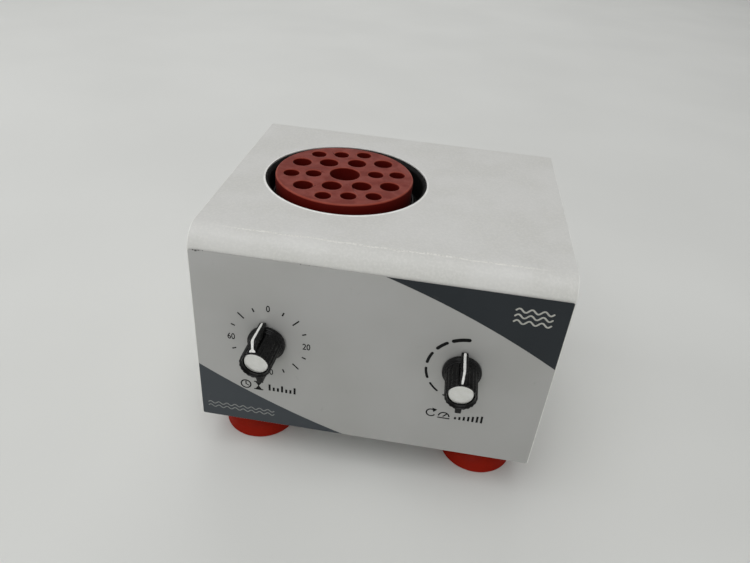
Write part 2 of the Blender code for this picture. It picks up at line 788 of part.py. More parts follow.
def motor_bridge(steel, screw_steel):
    """The folded bridge that the motor hangs from."""
    bottom = BASE_TOP + GAP
    leg, tip = BRIDGE_LEG_X, BRIDGE_LEG_X + BRIDGE_FLANGE
    inner = leg - BRIDGE_SHEET
    right = [
        (inner, BRIDGE_TOP - BRIDGE_SHEET),
        (inner, bottom),
        (tip, bottom),
        (tip, bottom + BRIDGE_SHEET),
        (leg, bottom + BRIDGE_SHEET),
        *arc((leg - 2.5, BRIDGE_TOP - 2.5), 2.5, 0, 90, 3),
    ]
    left = [(-x, z) for x, z in reversed(right)]
    half = BRIDGE_DEPTH / 2
    mesh = prism_mesh(right + left, -half, half)
    bridge = add("motor_bridge", mesh, steel, (HEAD_X, HEAD_Y, 0), FACING_FRONT)
    low, high = BRIDGE_TOP - 5, BRIDGE_TOP + 5
    holes = motor_screw_holes(low, high)
    for x, y in bridge_screw_places():
        holes.append(((x, y, bottom - 5), (x, y, bottom + 5), M4 + HOLE_PLAY))
    cut(bridge, rods_mesh(holes, 12), **WORLD)
    centre_hole = ((HEAD_X, HEAD_Y, low), (HEAD_X, HEAD_Y, high), 9.5)
    cut(bridge, rods_mesh([centre_hole], 24), **WORLD)
    screw = pan_screw_mesh(M4, BRIDGE_SHEET + SHEET + GAP, 3.8, 2.6)
    for number, (x, y) in enumerate(bridge_screw_places(), 1):
        add(f"bridge_screw_{number}", screw, screw_steel, (x, y, bottom + BRIDGE_SHEET + GAP))


def support_posts(rubber):
    """Three rubber posts that stop the platform from spinning with the crank."""
    bottom, top = BRIDGE_TOP + GAP, TRAY_UNDERSIDE - GAP
    waist = POST_RADIUS - 1.2
    flare = 6
    profile = [
        (0, bottom),
        (POST_RADIUS, bottom),
        (POST_RADIUS, bottom + 2),
        (waist, bottom + flare),
        (waist, top - flare),
        (POST_RADIUS, top - 2),
        (POST_RADIUS, top),
        (0, top),
    ]
    post = turned_mesh(profile, 14)
    for number, degrees in enumerate((90, 210, 330), 1):
        turn = math.radians(degrees)
        place = (HEAD_X + POST_CIRCLE * math.cos(turn), HEAD_Y + POST_CIRCLE * math.sin(turn), 0)
        add(f"support_post_{number}", post, rubber, place)


# ---------------------------------------------------------------- controls


def bushed(control):
    """Gives a control the threaded bush that its shaft comes out of. Height 0 is the label's face."""
    seat = LABEL_FACE - INSIDE_FRONT - GAP
    bush = ((0, 0, seat - 1), (0, 0, BUSH_REACH), BUSH_RADIUS)
    join(control, rods_mesh([bush], 16))
    bore = ((0, 0, seat - 1.5), (0, 0, BUSH_REACH + 5), SHAFT_RADIUS + GAP)
    cut(control, rods_mesh([bore], 14))


def grip_outline():
    """The fluted grip's outline, four points to a flute."""
    points = []
    for step in range(FLUTES * 4):
        turn = math.tau * step / (FLUTES * 4)
        radius = GRIP_RADIUS - FLUTE_DEPTH * (0.5 - 0.5 * math.cos(FLUTES * turn))
        points.append((radius * math.cos(turn), radius * math.sin(turn)))
    return points


def fin_mesh():
    """The bar across the knob: its pointer end slopes down from the grip, and its tail is level."""
    outline = [
        (-FIN_REACH, SKIRT_LIFT),
        (FIN_REACH, SKIRT_LIFT),
        (FIN_REACH, KNOB_REACH - POINTER_DROP[1]),
        (GRIP_RADIUS - 0.2, KNOB_REACH - POINTER_DROP[0]),
        (0, KNOB_REACH - TAIL_DROP),
        (-FIN_REACH, KNOB_REACH - TAIL_DROP),
    ]
    return finished(drawn_across(outline, FIN_WIDTH))


def knob(name, pivot, plastic, metal):
    """A pointer knob: a stepped skirt, a fluted grip, a bar across it and a metal cap."""
    skirt_top = SKIRT_LIFT + SKIRT_THICKNESS
    grip = prism_mesh(grip_outline(), SKIRT_LIFT + 0.5, KNOB_REACH)
    body = add(name, grip, plastic, parent=pivot)
    skirt = [
        (0, SKIRT_LIFT),
        (SKIRT_RADIUS, SKIRT_LIFT),
        (SKIRT_RADIUS, skirt_top - 0.5),
        (SKIRT_RADIUS - 0.5, skirt_top),
        (9.4, skirt_top),
        (9.1, skirt_top + 1.4),
        (0, skirt_top + 1.4),
    ]
    join(body, turned_mesh(skirt, 28))
    join(body, fin_mesh())
    recess = NUT_RADIUS + 0.8
    hollow = ((0, 0, -2), (0, 0, BUSH_REACH + 0.7), recess)
    bore = ((0, 0, 0), (0, 0, SHAFT_END + GAP), SHAFT_RADIUS + GAP)
    cap_face = KNOB_REACH - CAP_RECESS
    cap_back = cap_face - CAP_THICKNESS
    cap_seat = ((0, 0, cap_back - GAP), (0, 0, KNOB_REACH + 5), CAP_RADIUS + GAP)
    for rod, steps in ((hollow, 20), (bore, 14), (cap_seat, 32)):
        cut(body, rods_mesh([rod], steps))
    cap = ((0, 0, cap_back), (0, 0, cap_face), CAP_RADIUS)
    add(f"{name}_cap", rods_mesh([cap], 32), metal, parent=pivot)


def control_parts(name, x, pointer, materials):
    """The nut, shaft and knob of one control. The shaft and the knob turn on one axis."""
    plastic, metal, brass, steel = materials
    place = (x, LABEL_FACE, CONTROL_Z)
    mesh = prism_mesh(hexagon(NUT_RADIUS), GAP, GAP + NUT_THICKNESS)
    fixed_nut = add(f"{name}_nut", mesh, brass, place, FACING_FRONT)
    cut(fixed_nut, rods_mesh([((0, 0, -5), (0, 0, 10), BUSH_RADIUS + GAP)], 16))
    pivot = add_pivot(f"{name}_axis", place, (math.pi / 2, -pointer, 0))
    seat = LABEL_FACE - INSIDE_FRONT - GAP
    shaft = ((0, 0, seat - 1.2), (0, 0, SHAFT_END), SHAFT_RADIUS)
    add(f"{name}_shaft", rods_mesh([shaft], 14), steel, parent=pivot)
    knob(f"{name}_knob", pivot, plastic, metal)


def timer_body(steel):
    """The clockwork timer behind the panel."""
    seat = LABEL_FACE - INSIDE_FRONT - GAP
    depth, width = 28, 48
    mesh = blocks_mesh([((0, 0, seat - depth / 2), (width, width, depth))], 1.5)
    body = add("timer_body", mesh, steel, (TIMER_X, LABEL_FACE, CONTROL_Z), FACING_FRONT)
    bushed(body)


def speed_potentiometer(steel):
    """The potentiometer behind the panel."""
    seat = LABEL_FACE - INSIDE_FRONT - GAP
    profile = [
        (0, seat - 11),
        (11, seat - 11),
        (12, seat - 10),
        (12, seat),
        (0, seat),
    ]
    place = (SPEED_X, LABEL_FACE, CONTROL_Z)
    body = add("speed_potentiometer", turned_mesh(profile, 28), steel, place, FACING_FRONT)
    join(body, blocks_mesh([((0, -13, seat - 6), (14, 8, 1.5))]))
    bushed(body)


# ---------------------------------------------------------------- electrics


def control_board(laminate, brass):
    (left, front), (right, rear) = BOARD
    centre = ((left + right) / 2, (front + rear) / 2, BOARD_BOTTOM + BOARD_THICKNESS / 2)
    board = blocks_mesh([(centre, (right - left, rear - front, BOARD_THICKNESS))])
    add("control_board", board, laminate)
    post = prism_mesh(hexagon(3.2), BASE_TOP + GAP, BOARD_BOTTOM - GAP)
    reach_x, reach_y = (right - left) / 2 - SPACER_INSET, (rear - front) / 2 - SPACER_INSET
    for number, (x, y) in enumerate(four_corners(reach_x, reach_y), 1):
        add(f"board_spacer_{number}", post, brass, (centre[0] + x, centre[1] + y, 0))


def filter_capacitor(sleeve):
    bottom = BOARD_TOP + GAP
    profile = [
        (0, bottom),
        (8.6, bottom),
        (9, bottom + 0.5),
        (9, bottom + 27),
        (8.2, bottom + 28),
        (0, bottom + 28),
    ]
    add("filter_capacitor", turned_mesh(profile, 24), sleeve, (45, 34, 0))


def heat_sink(aluminium):
    """The finned block behind the motor's power transistor."""
    fins, pitch, fin, web, depth = 6, 5, 1.6, 3, 16
    width = (fins - 1) * pitch + fin
    outline = [(0, 0), (width, 0)]
    for number in reversed(range(fins)):
        near = number * pitch
        outline += [(near + fin, web), (near + fin, depth), (near, depth), (near, web)]
    mesh = prism_mesh(outline, BOARD_TOP + GAP, BOARD_TOP + 28)
    add("heat_sink", mesh, aluminium, (56, -10, 0))


def terminal_block(plastic):
    """A row of screw terminals for the mains wiring."""
    ways, pitch, depth, height = 4, 10, 14, 12
    bottom = BASE_TOP + GAP
    size = (ways * pitch, depth, height)
    place = (20, -59, bottom + height / 2)
    block = add("terminal_block", blocks_mesh([((0, 0, 0), size)], 0.8), plastic, place)
    middles = [(way - (ways - 1) / 2) * pitch for way in range(ways)]
    wells = [((x, 0, height / 2 - 4), (x, 0, height), 2.6) for x in middles]
    cut(block, rods_mesh(wells, 12))


# ---------------------------------------------------------------- rear fittings


def chamfered(width, height, corner):
    """A rectangle whose two lower corners are cut off, as on a mains socket."""
    x, y = width / 2, height / 2
    left = [(-x, y), (-x, corner - y), (corner - x, -y)]
    return left + [(-x, y) for x, y in reversed(left)]


def power_inlet(plastic):
    """The mains inlet, with its socket, its three pins and the slot for the fuse drawer.

    Its own +Z points out of the back, and height 0 is the back of the shell.
    """
    place = (INLET_X, SHELL_REAR, INLET_Z)
    facing_back = (-math.pi / 2, 0, 0)
    width, height, thick = INLET_FLANGE
    flange = blocks_mesh([((0, 0, GAP + thick / 2), (width, height, thick))], 0.8)
    inlet = add("power_inlet", flange, plastic, place, facing_back)
    body = (INLET_BODY[0], INLET_BODY[1], INLET_BODY[2] + 1)
    join(inlet, blocks_mesh([((0, 0, GAP + 1 - body[2] / 2), body)]))
    face = GAP + thick
    socket_floor = face - SOCKET[2]
    socket = prism_mesh(chamfered(SOCKET[0], SOCKET[1], 4), socket_floor, face + 5)
    upright = Matrix.Rotation(math.pi, 4, "Z")
    socket.transform(Matrix.Translation(metres(0, -SOCKET_RAISE, 0)) @ upright)
    cut(inlet, socket)
    slot = (DRAWER[0] + 2 * GAP, DRAWER[1] + 2 * GAP, 40)
    cut(inlet, blocks_mesh([((0, DRAWER_DROP, face - DRAWER[2] - GAP + 20), slot)]))
    pin_places = ((-7, 2), (7, 2), (0, -2))
    pin_middle = socket_floor + 5
    pins = [((x, y - SOCKET_RAISE, pin_middle), (2, 4, 12)) for x, y in pin_places]
    join(inlet, blocks_mesh(pins))


def fuse_drawer(plastic, parent):
    """The drawer that holds the mains fuse. It pulls straight out of the inlet."""
    face = GAP + INLET_FLANGE[2] + 0.8
    width, height, depth = DRAWER
    block = blocks_mesh([((0, 0, face - depth / 2), (width, height, depth))], 0.4)
    drawer = add("fuse_drawer", block, plastic, parent=parent)
    seat = (width - 3, height + 5, depth - 5)
    cut(drawer, blocks_mesh([((0, 0, face - depth / 2 - 0.5), seat)]))


def power_switch(plastic, parent):
    """The switch's body and bezel, hollowed for its rocker. Height 0 is the back of the shell."""
    width, height, thick = SWITCH_BEZEL
    bezel = blocks_mesh([((0, 0, GAP + thick / 2), (width, height, thick))], 0.6)
    body = add("switch_body", bezel, plastic, parent=parent)
    inside = (SWITCH_BODY[0], SWITCH_BODY[1], SWITCH_BODY[2] + 1)
    join(body, blocks_mesh([((0, 0, GAP + 1 - inside[2] / 2), inside)]))
    well = (ROCKER[0] + 2 * GAP, ROCKER[1] + 1.6, 10)
    cut(body, blocks_mesh([((0, 0, GAP + thick), well)]))


def switch_rocker(plastic, parent):
    """The rocker, seen from its end as (y, z) points about its pivot, drawn across its width."""
    half = ROCKER[1] / 2
    outline = [
        (-half, 3.3),
        (0, 2.3),
        (half, 3.3),
        (half, 1.4),
        *arc((0, 0), 2.3, -20, -160, 6),
        (-half, 1.4),
    ]
    mesh = finished(drawn_across(outline, ROCKER[0]))
    add("switch_rocker", mesh, plastic, parent=parent)


# ---------------------------------------------------------------- the whole object


def build():
    clear_scene()
    powder_coat = make_material("powder_coat", (0.62, 0.61, 0.57), 0.45)
    label_film = make_material("label_film", (0.56, 0.56, 0.52), 0.5)
    zinc_sheet = make_material("zinc_sheet", (0.60, 0.61, 0.62), 0.35, 1.0)
    screw_steel = make_material("screw_steel", (0.55, 0.55, 0.55), 0.3, 1.0)
    bright_steel = make_material("bright_steel", (0.72, 0.72, 0.72), 0.2, 1.0)
    motor_can = make_material("motor_can", (0.30, 0.31, 0.33), 0.4, 1.0)
    cast_aluminium = make_material("cast_aluminium", (0.66, 0.67, 0.68), 0.45, 1.0)
    cast_iron = make_material("cast_iron", (0.18, 0.18, 0.19), 0.6, 1.0)
    brass = make_material("brass", (0.70, 0.52, 0.24), 0.3, 1.0)
    red_silicone = make_material("red_silicone", (0.42, 0.085, 0.06), 0.55)
    red_rubber = make_material("red_rubber", (0.40, 0.035, 0.015), 0.45)
    black_rubber = make_material("black_rubber", (0.012, 0.012, 0.012), 0.6)
    black_plastic = make_material("black_plastic", (0.014, 0.014, 0.014), 0.4)
    knob_metal = make_material("knob_metal", (0.86, 0.86, 0.86), 0.25, 1.0)
    laminate = make_material("laminate", (0.03, 0.16, 0.06), 0.4)
    blue_sleeve = make_material("blue_sleeve", (0.02, 0.05, 0.22), 0.35)
    white_plastic = make_material("white_plastic", (0.75, 0.74, 0.70), 0.45)

    housing_shell(powder_coat)
    front_label(label_film)
    base_plate(zinc_sheet)
    cover_screws(screw_steel)
    suction_feet(red_rubber, screw_steel)

    crank_axis = add_pivot("crank_axis", (HEAD_X, HEAD_Y, 0))
    crank_hub(cast_iron, crank_axis)
    hub_set_screw(screw_steel, crank_axis)
    bearing_outer_ring(bright_steel, crank_axis)
    motor_shaft(bright_steel, crank_axis)
    cooling_fan(black_plastic, crank_axis)

    platform_axis = add_pivot("platform_axis", (ORBIT_X, ORBIT_Y, 0), parent=crank_axis)
    platform_tray(black_plastic, platform_axis)
    tray_screw(screw_steel, platform_axis)
    spindle(bright_steel, platform_axis)
    bearing_inner_ring(bright_steel, platform_axis)
    rack_disc(red_silicone, platform_axis)
    dust_boot(black_rubber)

    motor(motor_can, cast_aluminium)
    motor_bridge(zinc_sheet, screw_steel)
    support_posts(black_rubber)

    control_materials = (black_plastic, knob_metal, brass, bright_steel)
    timer_body(zinc_sheet)
    control_parts("timer", TIMER_X, TIMER_POINTER, control_materials)
    speed_potentiometer(zinc_sheet)
    control_parts("speed", SPEED_X, SPEED_POINTER, control_materials)

    control_board(laminate, brass)
    filter_capacitor(blue_sleeve)
    heat_sink(cast_aluminium)
    terminal_block(white_plastic)

    power_inlet(black_plastic)
    facing_back = (-math.pi / 2, 0, 0)
    drawer_place = (INLET_X, SHELL_REAR, INLET_Z - DRAWER_DROP)
    fuse_drawer(black_plastic, add_pivot("drawer_axis", drawer_place, facing_back))
    switch_place = (SWITCH_X, SHELL_REAR, SWITCH_Z)
    power_switch(black_plastic, add_pivot("switch_place", switch_place, facing_back))
    rocker_place = (SWITCH_X, ROCKER_PIVOT, SWITCH_Z)
    rocker_turn = (-math.pi / 2 + ROCKER_TILT, 0, 0)
    rocker_axis = add_pivot("rocker_axis", rocker_place, rocker_turn)
    switch_rocker(black_plastic, rocker_axis)


build()
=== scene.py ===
"""The looks of a vortex mixer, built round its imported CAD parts.

Lengths are millimetres in the part's own frame, and the helpers turn them into metres.
+Z is up, the front panel faces -Y, and z = 0 is the surface that the feet stand on.
"""

import json
import math
import random

import bmesh
import bpy
from mathutils import Euler, Matrix, Vector


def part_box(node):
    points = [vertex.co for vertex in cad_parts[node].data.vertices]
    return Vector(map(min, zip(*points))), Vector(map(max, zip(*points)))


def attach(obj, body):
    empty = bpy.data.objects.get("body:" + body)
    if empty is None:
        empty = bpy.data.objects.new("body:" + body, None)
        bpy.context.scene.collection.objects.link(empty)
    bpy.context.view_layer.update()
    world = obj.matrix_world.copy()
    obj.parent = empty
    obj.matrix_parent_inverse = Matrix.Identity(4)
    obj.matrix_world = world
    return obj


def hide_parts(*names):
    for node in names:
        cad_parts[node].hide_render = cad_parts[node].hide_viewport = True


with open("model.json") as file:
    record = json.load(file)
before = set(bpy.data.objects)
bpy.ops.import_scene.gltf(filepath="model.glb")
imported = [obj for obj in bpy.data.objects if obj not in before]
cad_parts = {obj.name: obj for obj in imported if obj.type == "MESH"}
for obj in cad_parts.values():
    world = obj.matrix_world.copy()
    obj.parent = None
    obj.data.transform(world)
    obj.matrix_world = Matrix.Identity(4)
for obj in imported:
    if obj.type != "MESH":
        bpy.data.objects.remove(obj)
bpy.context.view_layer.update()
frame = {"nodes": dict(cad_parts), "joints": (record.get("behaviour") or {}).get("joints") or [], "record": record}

MM = 0.001
RECORD = frame["record"]
SMOOTH_ANGLE = math.radians(40)

# The housing's sheet, its bends and its holes
BEND_RADIUS = 13
SHEET = 1.2
GAP = 0.3  # left between pieces that touch
OPENING_RADIUS = 49.3
CONTROL_HOLE = 4.8  # radius of the holes for the two controls' bushes
SCREW_HOLE = 1.8
VENT_SIZE = (3, 24)
VENT_COLUMNS = range(-80, -15, 8)
VENT_ROWS = (62, 96)
# The press mark is a small bump ridge with a painted highlight line along it.
PRESS_HIGHLIGHT_FROM_FRONT = 9.6  # the press mark along the front bend

# The printed panel, in millimetres from its middle and above its lower edge
PRINT_LIFT = 0.02
PRINT_DEPTH = 0.03  # how far the ink reaches into the film
FILM_MARGIN = 0.35  # of painted edge that shows round the panel film
FILM_CORNER = 1
PRINT_MARGIN = FILM_MARGIN + 0.1
NUMBER_WEIGHT = 0.016  # how much bolder than the plain font, for an em of 1
UPPER_CURVE = ((-142.1, -324.1), 465.3)  # centre and radius of the dark area's edge
LOWER_CURVE = ((129.8, 426.6), 449.1)
TIMER_DIAL = (-57.0, 64.1)
TIMER_CIRCLE = 21.8
DIAL_NUMBERS = ("0", "20", "40", "60")
NUMBER_SIZE = (0.78, 4.3)  # how narrow against the plain font, and the height
SPEED_DIAL = (53.0, 63.7)
SPEED_CIRCLE = 21.5
# Each dash's span in degrees, and its width
SPEED_DASHES = ((22, 2.3), (16.5, 2.0), (18.5, 1.7), (18, 1.5), (17.5, 1.2), (17, 1.0))
SPEED_FIRST = -14  # bearing of the first dash's middle
SPEED_PITCH = 29.6
TIMER_CAPTION = (-71.2, 29.6)
SPEED_CAPTION = (38.3, 29.6)
CAPTION_STEPS = (7.6, 14.2)  # from a caption's first sign to its second and its bars
SIGN_LINE = 0.85
CHIPS = ((3.2, 1.0), (4.6, 1.5), (6.3, 0.9), (8.4, 0.5), (60, 0.5), (64.5, 0.4))  # place, size

# Tube rack
OPENING_SHARE = 0.66  # of a tube hole's radius, half the side of its box in the record
RIM_SOFTENING = 0.5
EDGE_SOFTENING = 1.0
EDGE_NICK = (246.5, (1.2, 2.4, 1.0))  # its bearing in degrees and its size
TORN_HOLES = (1, 5, 9, 11, 14)  # the tube holes whose rims have a small tear

# Boot, under the rack
BOOT_WALL = 1.2
BOOT_SKIRT = 40.0  # its inner edge, under the tray

# Knobs: heights are from the panel's face
SKIRT_LIFT = 0.8
SKIRT_RADIUS = 10.8
GRIP_RADIUS = 8.75
FLUTES = 20
FLUTE_DEPTH = 0.55
FIN_WIDTH = 3.8
FIN_REACH = 13.6
FIN_ROOT = 7.95  # where the bar starts, inside the grip's wall
FACE_DROP = 0.4  # the worn rim stands this far under the height of a new knob
POINTER_DROP = (1.2, 4.8)  # from that height to the two ends of the pointer's slope
TAIL_DROP = 2.5
CAP_RECESS = 2.9
CAP_THICKNESS = 0.8
FIN_STEPS = 4
PAINT_THICKNESS = 0.06
TIMER_POINTER = math.radians(8.5)
TIMER_LEAN = math.radians(-2.5)  # the timer's knob stands a little crooked, its face to the left
SPEED_POINTER = math.radians(1)

# Rear fittings: the rocker's face is a shallow valley across its pivot
ROCKER_TILT = math.radians(8)
ROCKER_VALLEY = 2.3
ROCKER_SLOPE = 1 / 7

# Camera: its place is from the middle, the panel's face and the floor, and its angles are in degrees
LENS = 30.49
CAMERA_PLACE = (23.1, -268.2, 318.0)
CAMERA_ANGLES = (56.46, -4.36, 7.97)
LIGHT_COLOUR = (0.98, 0.98, 1.0)
SKY_COLOUR = (0.99, 0.99, 1.0)

# The CAD nodes that show at the back and below, and how far their edges are rounded
ROUNDED_NODES = {
    "power_inlet": 0.35,
    "fuse_drawer": 0.25,
    "switch_body": 0.3,
    "switch_rocker": 0.3,
    "base_plate": 0.2,
}


# ---- places


def metres(x, y, z):
    return Vector((x, y, z)) * MM


def box(node):
    """A CAD node's lowest and highest corner, in millimetres."""
    low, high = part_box(node)
    return low / MM, high / MM


def middle(node):
    low, high = box(node)
    return (low + high) / 2


def round_box(node):
    """A round CAD node's lowest and highest corner, its middle and its radius."""
    low, high = box(node)
    return low, high, (low + high) / 2, (high.x - low.x) / 2


def joint_place(name):
    joint = next(joint for joint in frame["joints"] if joint["name"] == name)
    return Vector(joint["pos_m"]) / MM


CASE_LOW, CASE_HIGH = box("housing_shell")
LABEL_LOW, LABEL_HIGH = box("front_label")
LABEL_FACE = LABEL_LOW.y
KNOB_HEIGHT = LABEL_FACE - box("timer_knob")[0].y
CAP_RADIUS = (box("timer_knob_cap")[1].z - box("timer_knob_cap")[0].z) / 2


# ---- material helpers


def add_node(tree, kind, inputs=(), **settings):
    """A node with its settings and inputs. An input is a value, or a socket to link."""
    made = tree.nodes.new(kind)
    for key, value in settings.items():
        setattr(made, key, value)
    for key, value in dict(inputs).items():
        if isinstance(value, bpy.types.NodeSocket):
            tree.links.new(value, made.inputs[key])
        else:
            made.inputs[key].default_value = value
    return made


def noise(tree, place, size, detail=2.0, stretch=(1, 1, 1), distortion=0.0):
    """Noise whose blotches are about size millimetres, drawn out along each axis by stretch."""
    scale = tuple(1 / (size * share) for share in stretch)
    scaled = add_node(tree, "ShaderNodeVectorMath", {0: place, 1: scale}, operation="MULTIPLY")
    inputs = {"Vector": scaled.outputs[0], "Scale": 1.0, "Detail": detail, "Distortion": distortion}
    return add_node(tree, "ShaderNodeTexNoise", inputs).outputs["Fac"]


def spread(tree, value, low, high, to_low=0.0, to_high=1.0):
    """A value from low to high, mapped to another range and held at its ends."""
    inputs = {"Value": value, "From Min": low, "From Max": high, "To Min": to_low, "To Max": to_high}
    made = add_node(tree, "ShaderNodeMapRange", inputs, interpolation_type="SMOOTHSTEP")
    return made.outputs["Result"]


def blended(tree, share, colour_a, colour_b):
    made = add_node(tree, "ShaderNodeMix", data_type="RGBA")
    colours = [socket for socket in made.inputs if socket.type == "RGBA"]
    factor = next(socket for socket in made.inputs if socket.type == "VALUE")
    for socket, value in ((factor, share), (colours[0], colour_a), (colours[1], colour_b)):
        if isinstance(value, bpy.types.NodeSocket):
            tree.links.new(value, socket)
        else:
            socket.default_value = value if isinstance(value, float) else (*value[:3], 1)
    return next(socket for socket in made.outputs if socket.type == "RGBA")


def bump(tree, height, depth, normal=None, strength=1.0):
    """A bump whose full height is depth millimetres."""
    inputs = {"Height": height, "Distance": depth * MM, "Strength": strength}
    if normal is not None:
        inputs["Normal"] = normal
    return add_node(tree, "ShaderNodeBump", inputs).outputs["Normal"]


def maths(tree, operation, a, b=0.0):
    return add_node(tree, "ShaderNodeMath", {0: a, 1: b}, operation=operation).outputs[0]


def new_material(name):
    """A material, its nodes, its shader, and each point's place in the part's frame, in millimetres."""
    material = bpy.data.materials.new(name)
    material.use_nodes = True
    tree = material.node_tree
    point = add_node(tree, "ShaderNodeTexCoord").outputs["Object"]
    place = add_node(tree, "ShaderNodeVectorMath", {0: point, 1: (1 / MM,) * 3}, operation="MULTIPLY")
    return material, tree, tree.nodes["Principled BSDF"], place.outputs[0]


def srgb(red, green, blue):
    """A colour as it looks on a screen, as the linear colour that shaders take."""
    linear = []
    for value in (red, green, blue):
        share = value / 255
        linear.append(share / 12.92 if share <= 0.04045 else ((share + 0.055) / 1.055) ** 2.4)
    return tuple(linear)


def patches(tree, place, size, low, high, to_low=0.0, to_high=1.0, **texture):
    """Noise whose values from low to high are mapped to another range."""
    return spread(tree, noise(tree, place, size, **texture), low, high, to_low, to_high)


def dress(tree, shader, colour, gloss, normal, values=()):
    """Joins a shader's colour, roughness and bump, and sets its plain values."""
    for socket, source in (("Base Color", colour), ("Roughness", gloss), ("Normal", normal)):
        tree.links.new(source, shader.inputs[socket])
    for socket, value in dict(values).items():
        shader.inputs[socket].default_value = value


def grained(
    name, dark, light, blotch, grain, depth, roughness, specular=0.5, metallic=0.0, stretch=(1, 1, 1)
):
    """A surface with blotches of two colours, a fine grain in its bump and an uneven gloss."""
    material, tree, shader, place = new_material(name)
    colour = blended(tree, patches(tree, place, blotch, 0.3, 0.7, detail=4), dark, light)
    gloss = patches(tree, place, blotch * 0.6, 0.3, 0.7, *roughness, detail=5)
    normal = bump(tree, noise(tree, place, grain, detail=3, stretch=stretch), depth)
    dress(tree, shader, colour, gloss, normal, {"Metallic": metallic, "Specular IOR Level": specular})
    return material


# ---- materials


def powder_coat():
    """Grey-white powder coat: orange peel, faint dirt, and along the front bend a press mark: a small bump ridge
    with a painted highlight line on it.
    """
    material, tree, shader, place = new_material("powder_coat")
    coat = blended(
        tree,
        patches(tree, place, 30, 0.35, 0.65, detail=5),
        srgb(206, 206, 200),
        srgb(212, 212, 207),
    )
    speckle = patches(tree, place, 1.4, 0.4, 0.7, detail=1)
    coat = blended(tree, maths(tree, "MULTIPLY", speckle, 0.35), coat, srgb(222, 221, 216))
    specks = patches(tree, place, 1.1, 0.76, 0.80, detail=1)
    dirt = patches(tree, place, 26, 0.62, 0.74, detail=6, distortion=0.6)
    coat = blended(tree, maths(tree, "MULTIPLY", specks, dirt), coat, srgb(120, 116, 108))

    # Painted highlight: a pale, broken line along the start of the front bend, over the press mark's small bump.
    xyz = add_node(tree, "ShaderNodeSeparateXYZ", {0: place}).outputs
    wander = patches(tree, place, 9, 0.2, 0.8, -0.5, 0.5, detail=3)
    line = maths(tree, "SUBTRACT", xyz["Y"], CASE_LOW.y + PRESS_HIGHLIGHT_FROM_FRONT)
    line = maths(tree, "ABSOLUTE", maths(tree, "ADD", line, wander))
    press_highlight = spread(tree, line, 0.25, 0.8, 1.0, 0.0)
    above = spread(tree, xyz["Z"], CASE_HIGH.z - BEND_RADIUS, CASE_HIGH.z - 1)
    within = spread(tree, maths(tree, "ABSOLUTE", xyz["X"]), 66, 92, 1.0, 0.0)
    for share in (above, within, patches(tree, place, 0.9, 0.34, 0.56, detail=3)):
        press_highlight = maths(tree, "MULTIPLY", press_highlight, share)
    coat = blended(tree, press_highlight, coat, srgb(230, 229, 222))

    gloss = patches(tree, place, 18, 0.3, 0.7, 0.36, 0.48, detail=5)
    normal = bump(tree, noise(tree, place, 45, detail=1), 0.25)
    normal = bump(tree, press_highlight, 0.15, normal)
    normal = bump(tree, noise(tree, place, 2.2, detail=2.5), 0.13, normal)
    normal = bump(tree, noise(tree, place, 0.8, detail=1.5), 0.055, normal)
    dress(tree, shader, coat, gloss, normal)
    return material


def label_film(name, dark, light, specular=0.5):
    """Matt printed film: a fine even grain, slow waves where it isn't quite flat, and faint smudges."""
    material, tree, shader, place = new_material(name)
    film = blended(tree, patches(tree, place, 60, 0.3, 0.7, detail=3), dark, light)
    smudge = patches(tree, place, 7, 0.66, 0.80, detail=6, distortion=0.8)
    film = blended(tree, maths(tree, "MULTIPLY", smudge, 0.16), film, srgb(96, 93, 84))
    gloss = patches(tree, place, 12, 0.3, 0.7, 0.38, 0.46, detail=4)
    normal = bump(tree, noise(tree, place, 38, detail=1), 0.12)
    normal = bump(tree, noise(tree, place, 0.35, detail=1), 0.006, normal)
    dress(tree, shader, film, gloss, normal, {"Specular IOR Level": specular})
    return material


def silicone(name, deep, top_dust_and_sheen, dustiness, sheen):
    """Soft silicone of a deep colour; the faces that look up are paler in two tints, partly dust and partly a
    painted sheen.
    """
    material, tree, shader, place = new_material(name)
    dust_and_sheen = blended(tree, patches(tree, place, 8, 0.32, 0.68, detail=6, distortion=0.5), *top_dust_and_sheen)
    dust = patches(tree, place, 1.0, 0.66, 0.78, detail=2)
    dust_and_sheen = blended(tree, maths(tree, "MULTIPLY", dust, dustiness), dust_and_sheen, srgb(160, 112, 104))
    facing = add_node(tree, "ShaderNodeNewGeometry").outputs["Normal"]
    upward = add_node(tree, "ShaderNodeSeparateXYZ", {0: facing}).outputs["Z"]
    # Painted sheen with dust: faces that look up get the paler tints, and the sides keep the deep colour.
    colour = blended(tree, spread(tree, upward, 0.25, 0.95), deep, dust_and_sheen)
    gloss = patches(tree, place, 6, 0.3, 0.7, 0.42, 0.56, detail=4)
    normal = bump(tree, noise(tree, place, 9, detail=2), 0.12)
    normal = bump(tree, noise(tree, place, 0.6, detail=2), 0.012, normal)
    values = {
        "Specular IOR Level": 0.1,
        "Sheen Weight": sheen,
        "Sheen Roughness": 0.45,
        "Sheen Tint": (1.0, 0.78, 0.72, 1),
    }
    dress(tree, shader, colour, gloss, normal, values)
    return material


def spun_metal(axis):
    """A spun aluminium face: fine turning rings round its own axis."""
    material, tree, shader, place = new_material("spun_metal")
    away = add_node(tree, "ShaderNodeVectorMath", {0: place, 1: tuple(axis)}, operation="SUBTRACT")
    radius = add_node(tree, "ShaderNodeVectorMath", {0: away.outputs[0]}, operation="LENGTH")
    rings = maths(tree, "SINE", maths(tree, "MULTIPLY", radius.outputs["Value"], 20.0))
    tint = patches(tree, place, 2.5, 0.3, 0.7, detail=2)
    colour = blended(tree, tint, srgb(232, 232, 228), srgb(238, 238, 235))
    gloss = patches(tree, place, 3, 0.3, 0.7, 0.28, 0.36, detail=2)
    values = {"Metallic": 1.0, "Anisotropic": 0.75}
    dress(tree, shader, colour, gloss, bump(tree, rings, 0.0015), values)
    round_the_axis = add_node(tree, "ShaderNodeTangent", direction_type="RADIAL", axis="Y")
    tree.links.new(round_the_axis.outputs["Tangent"], shader.inputs["Tangent"])
    return material


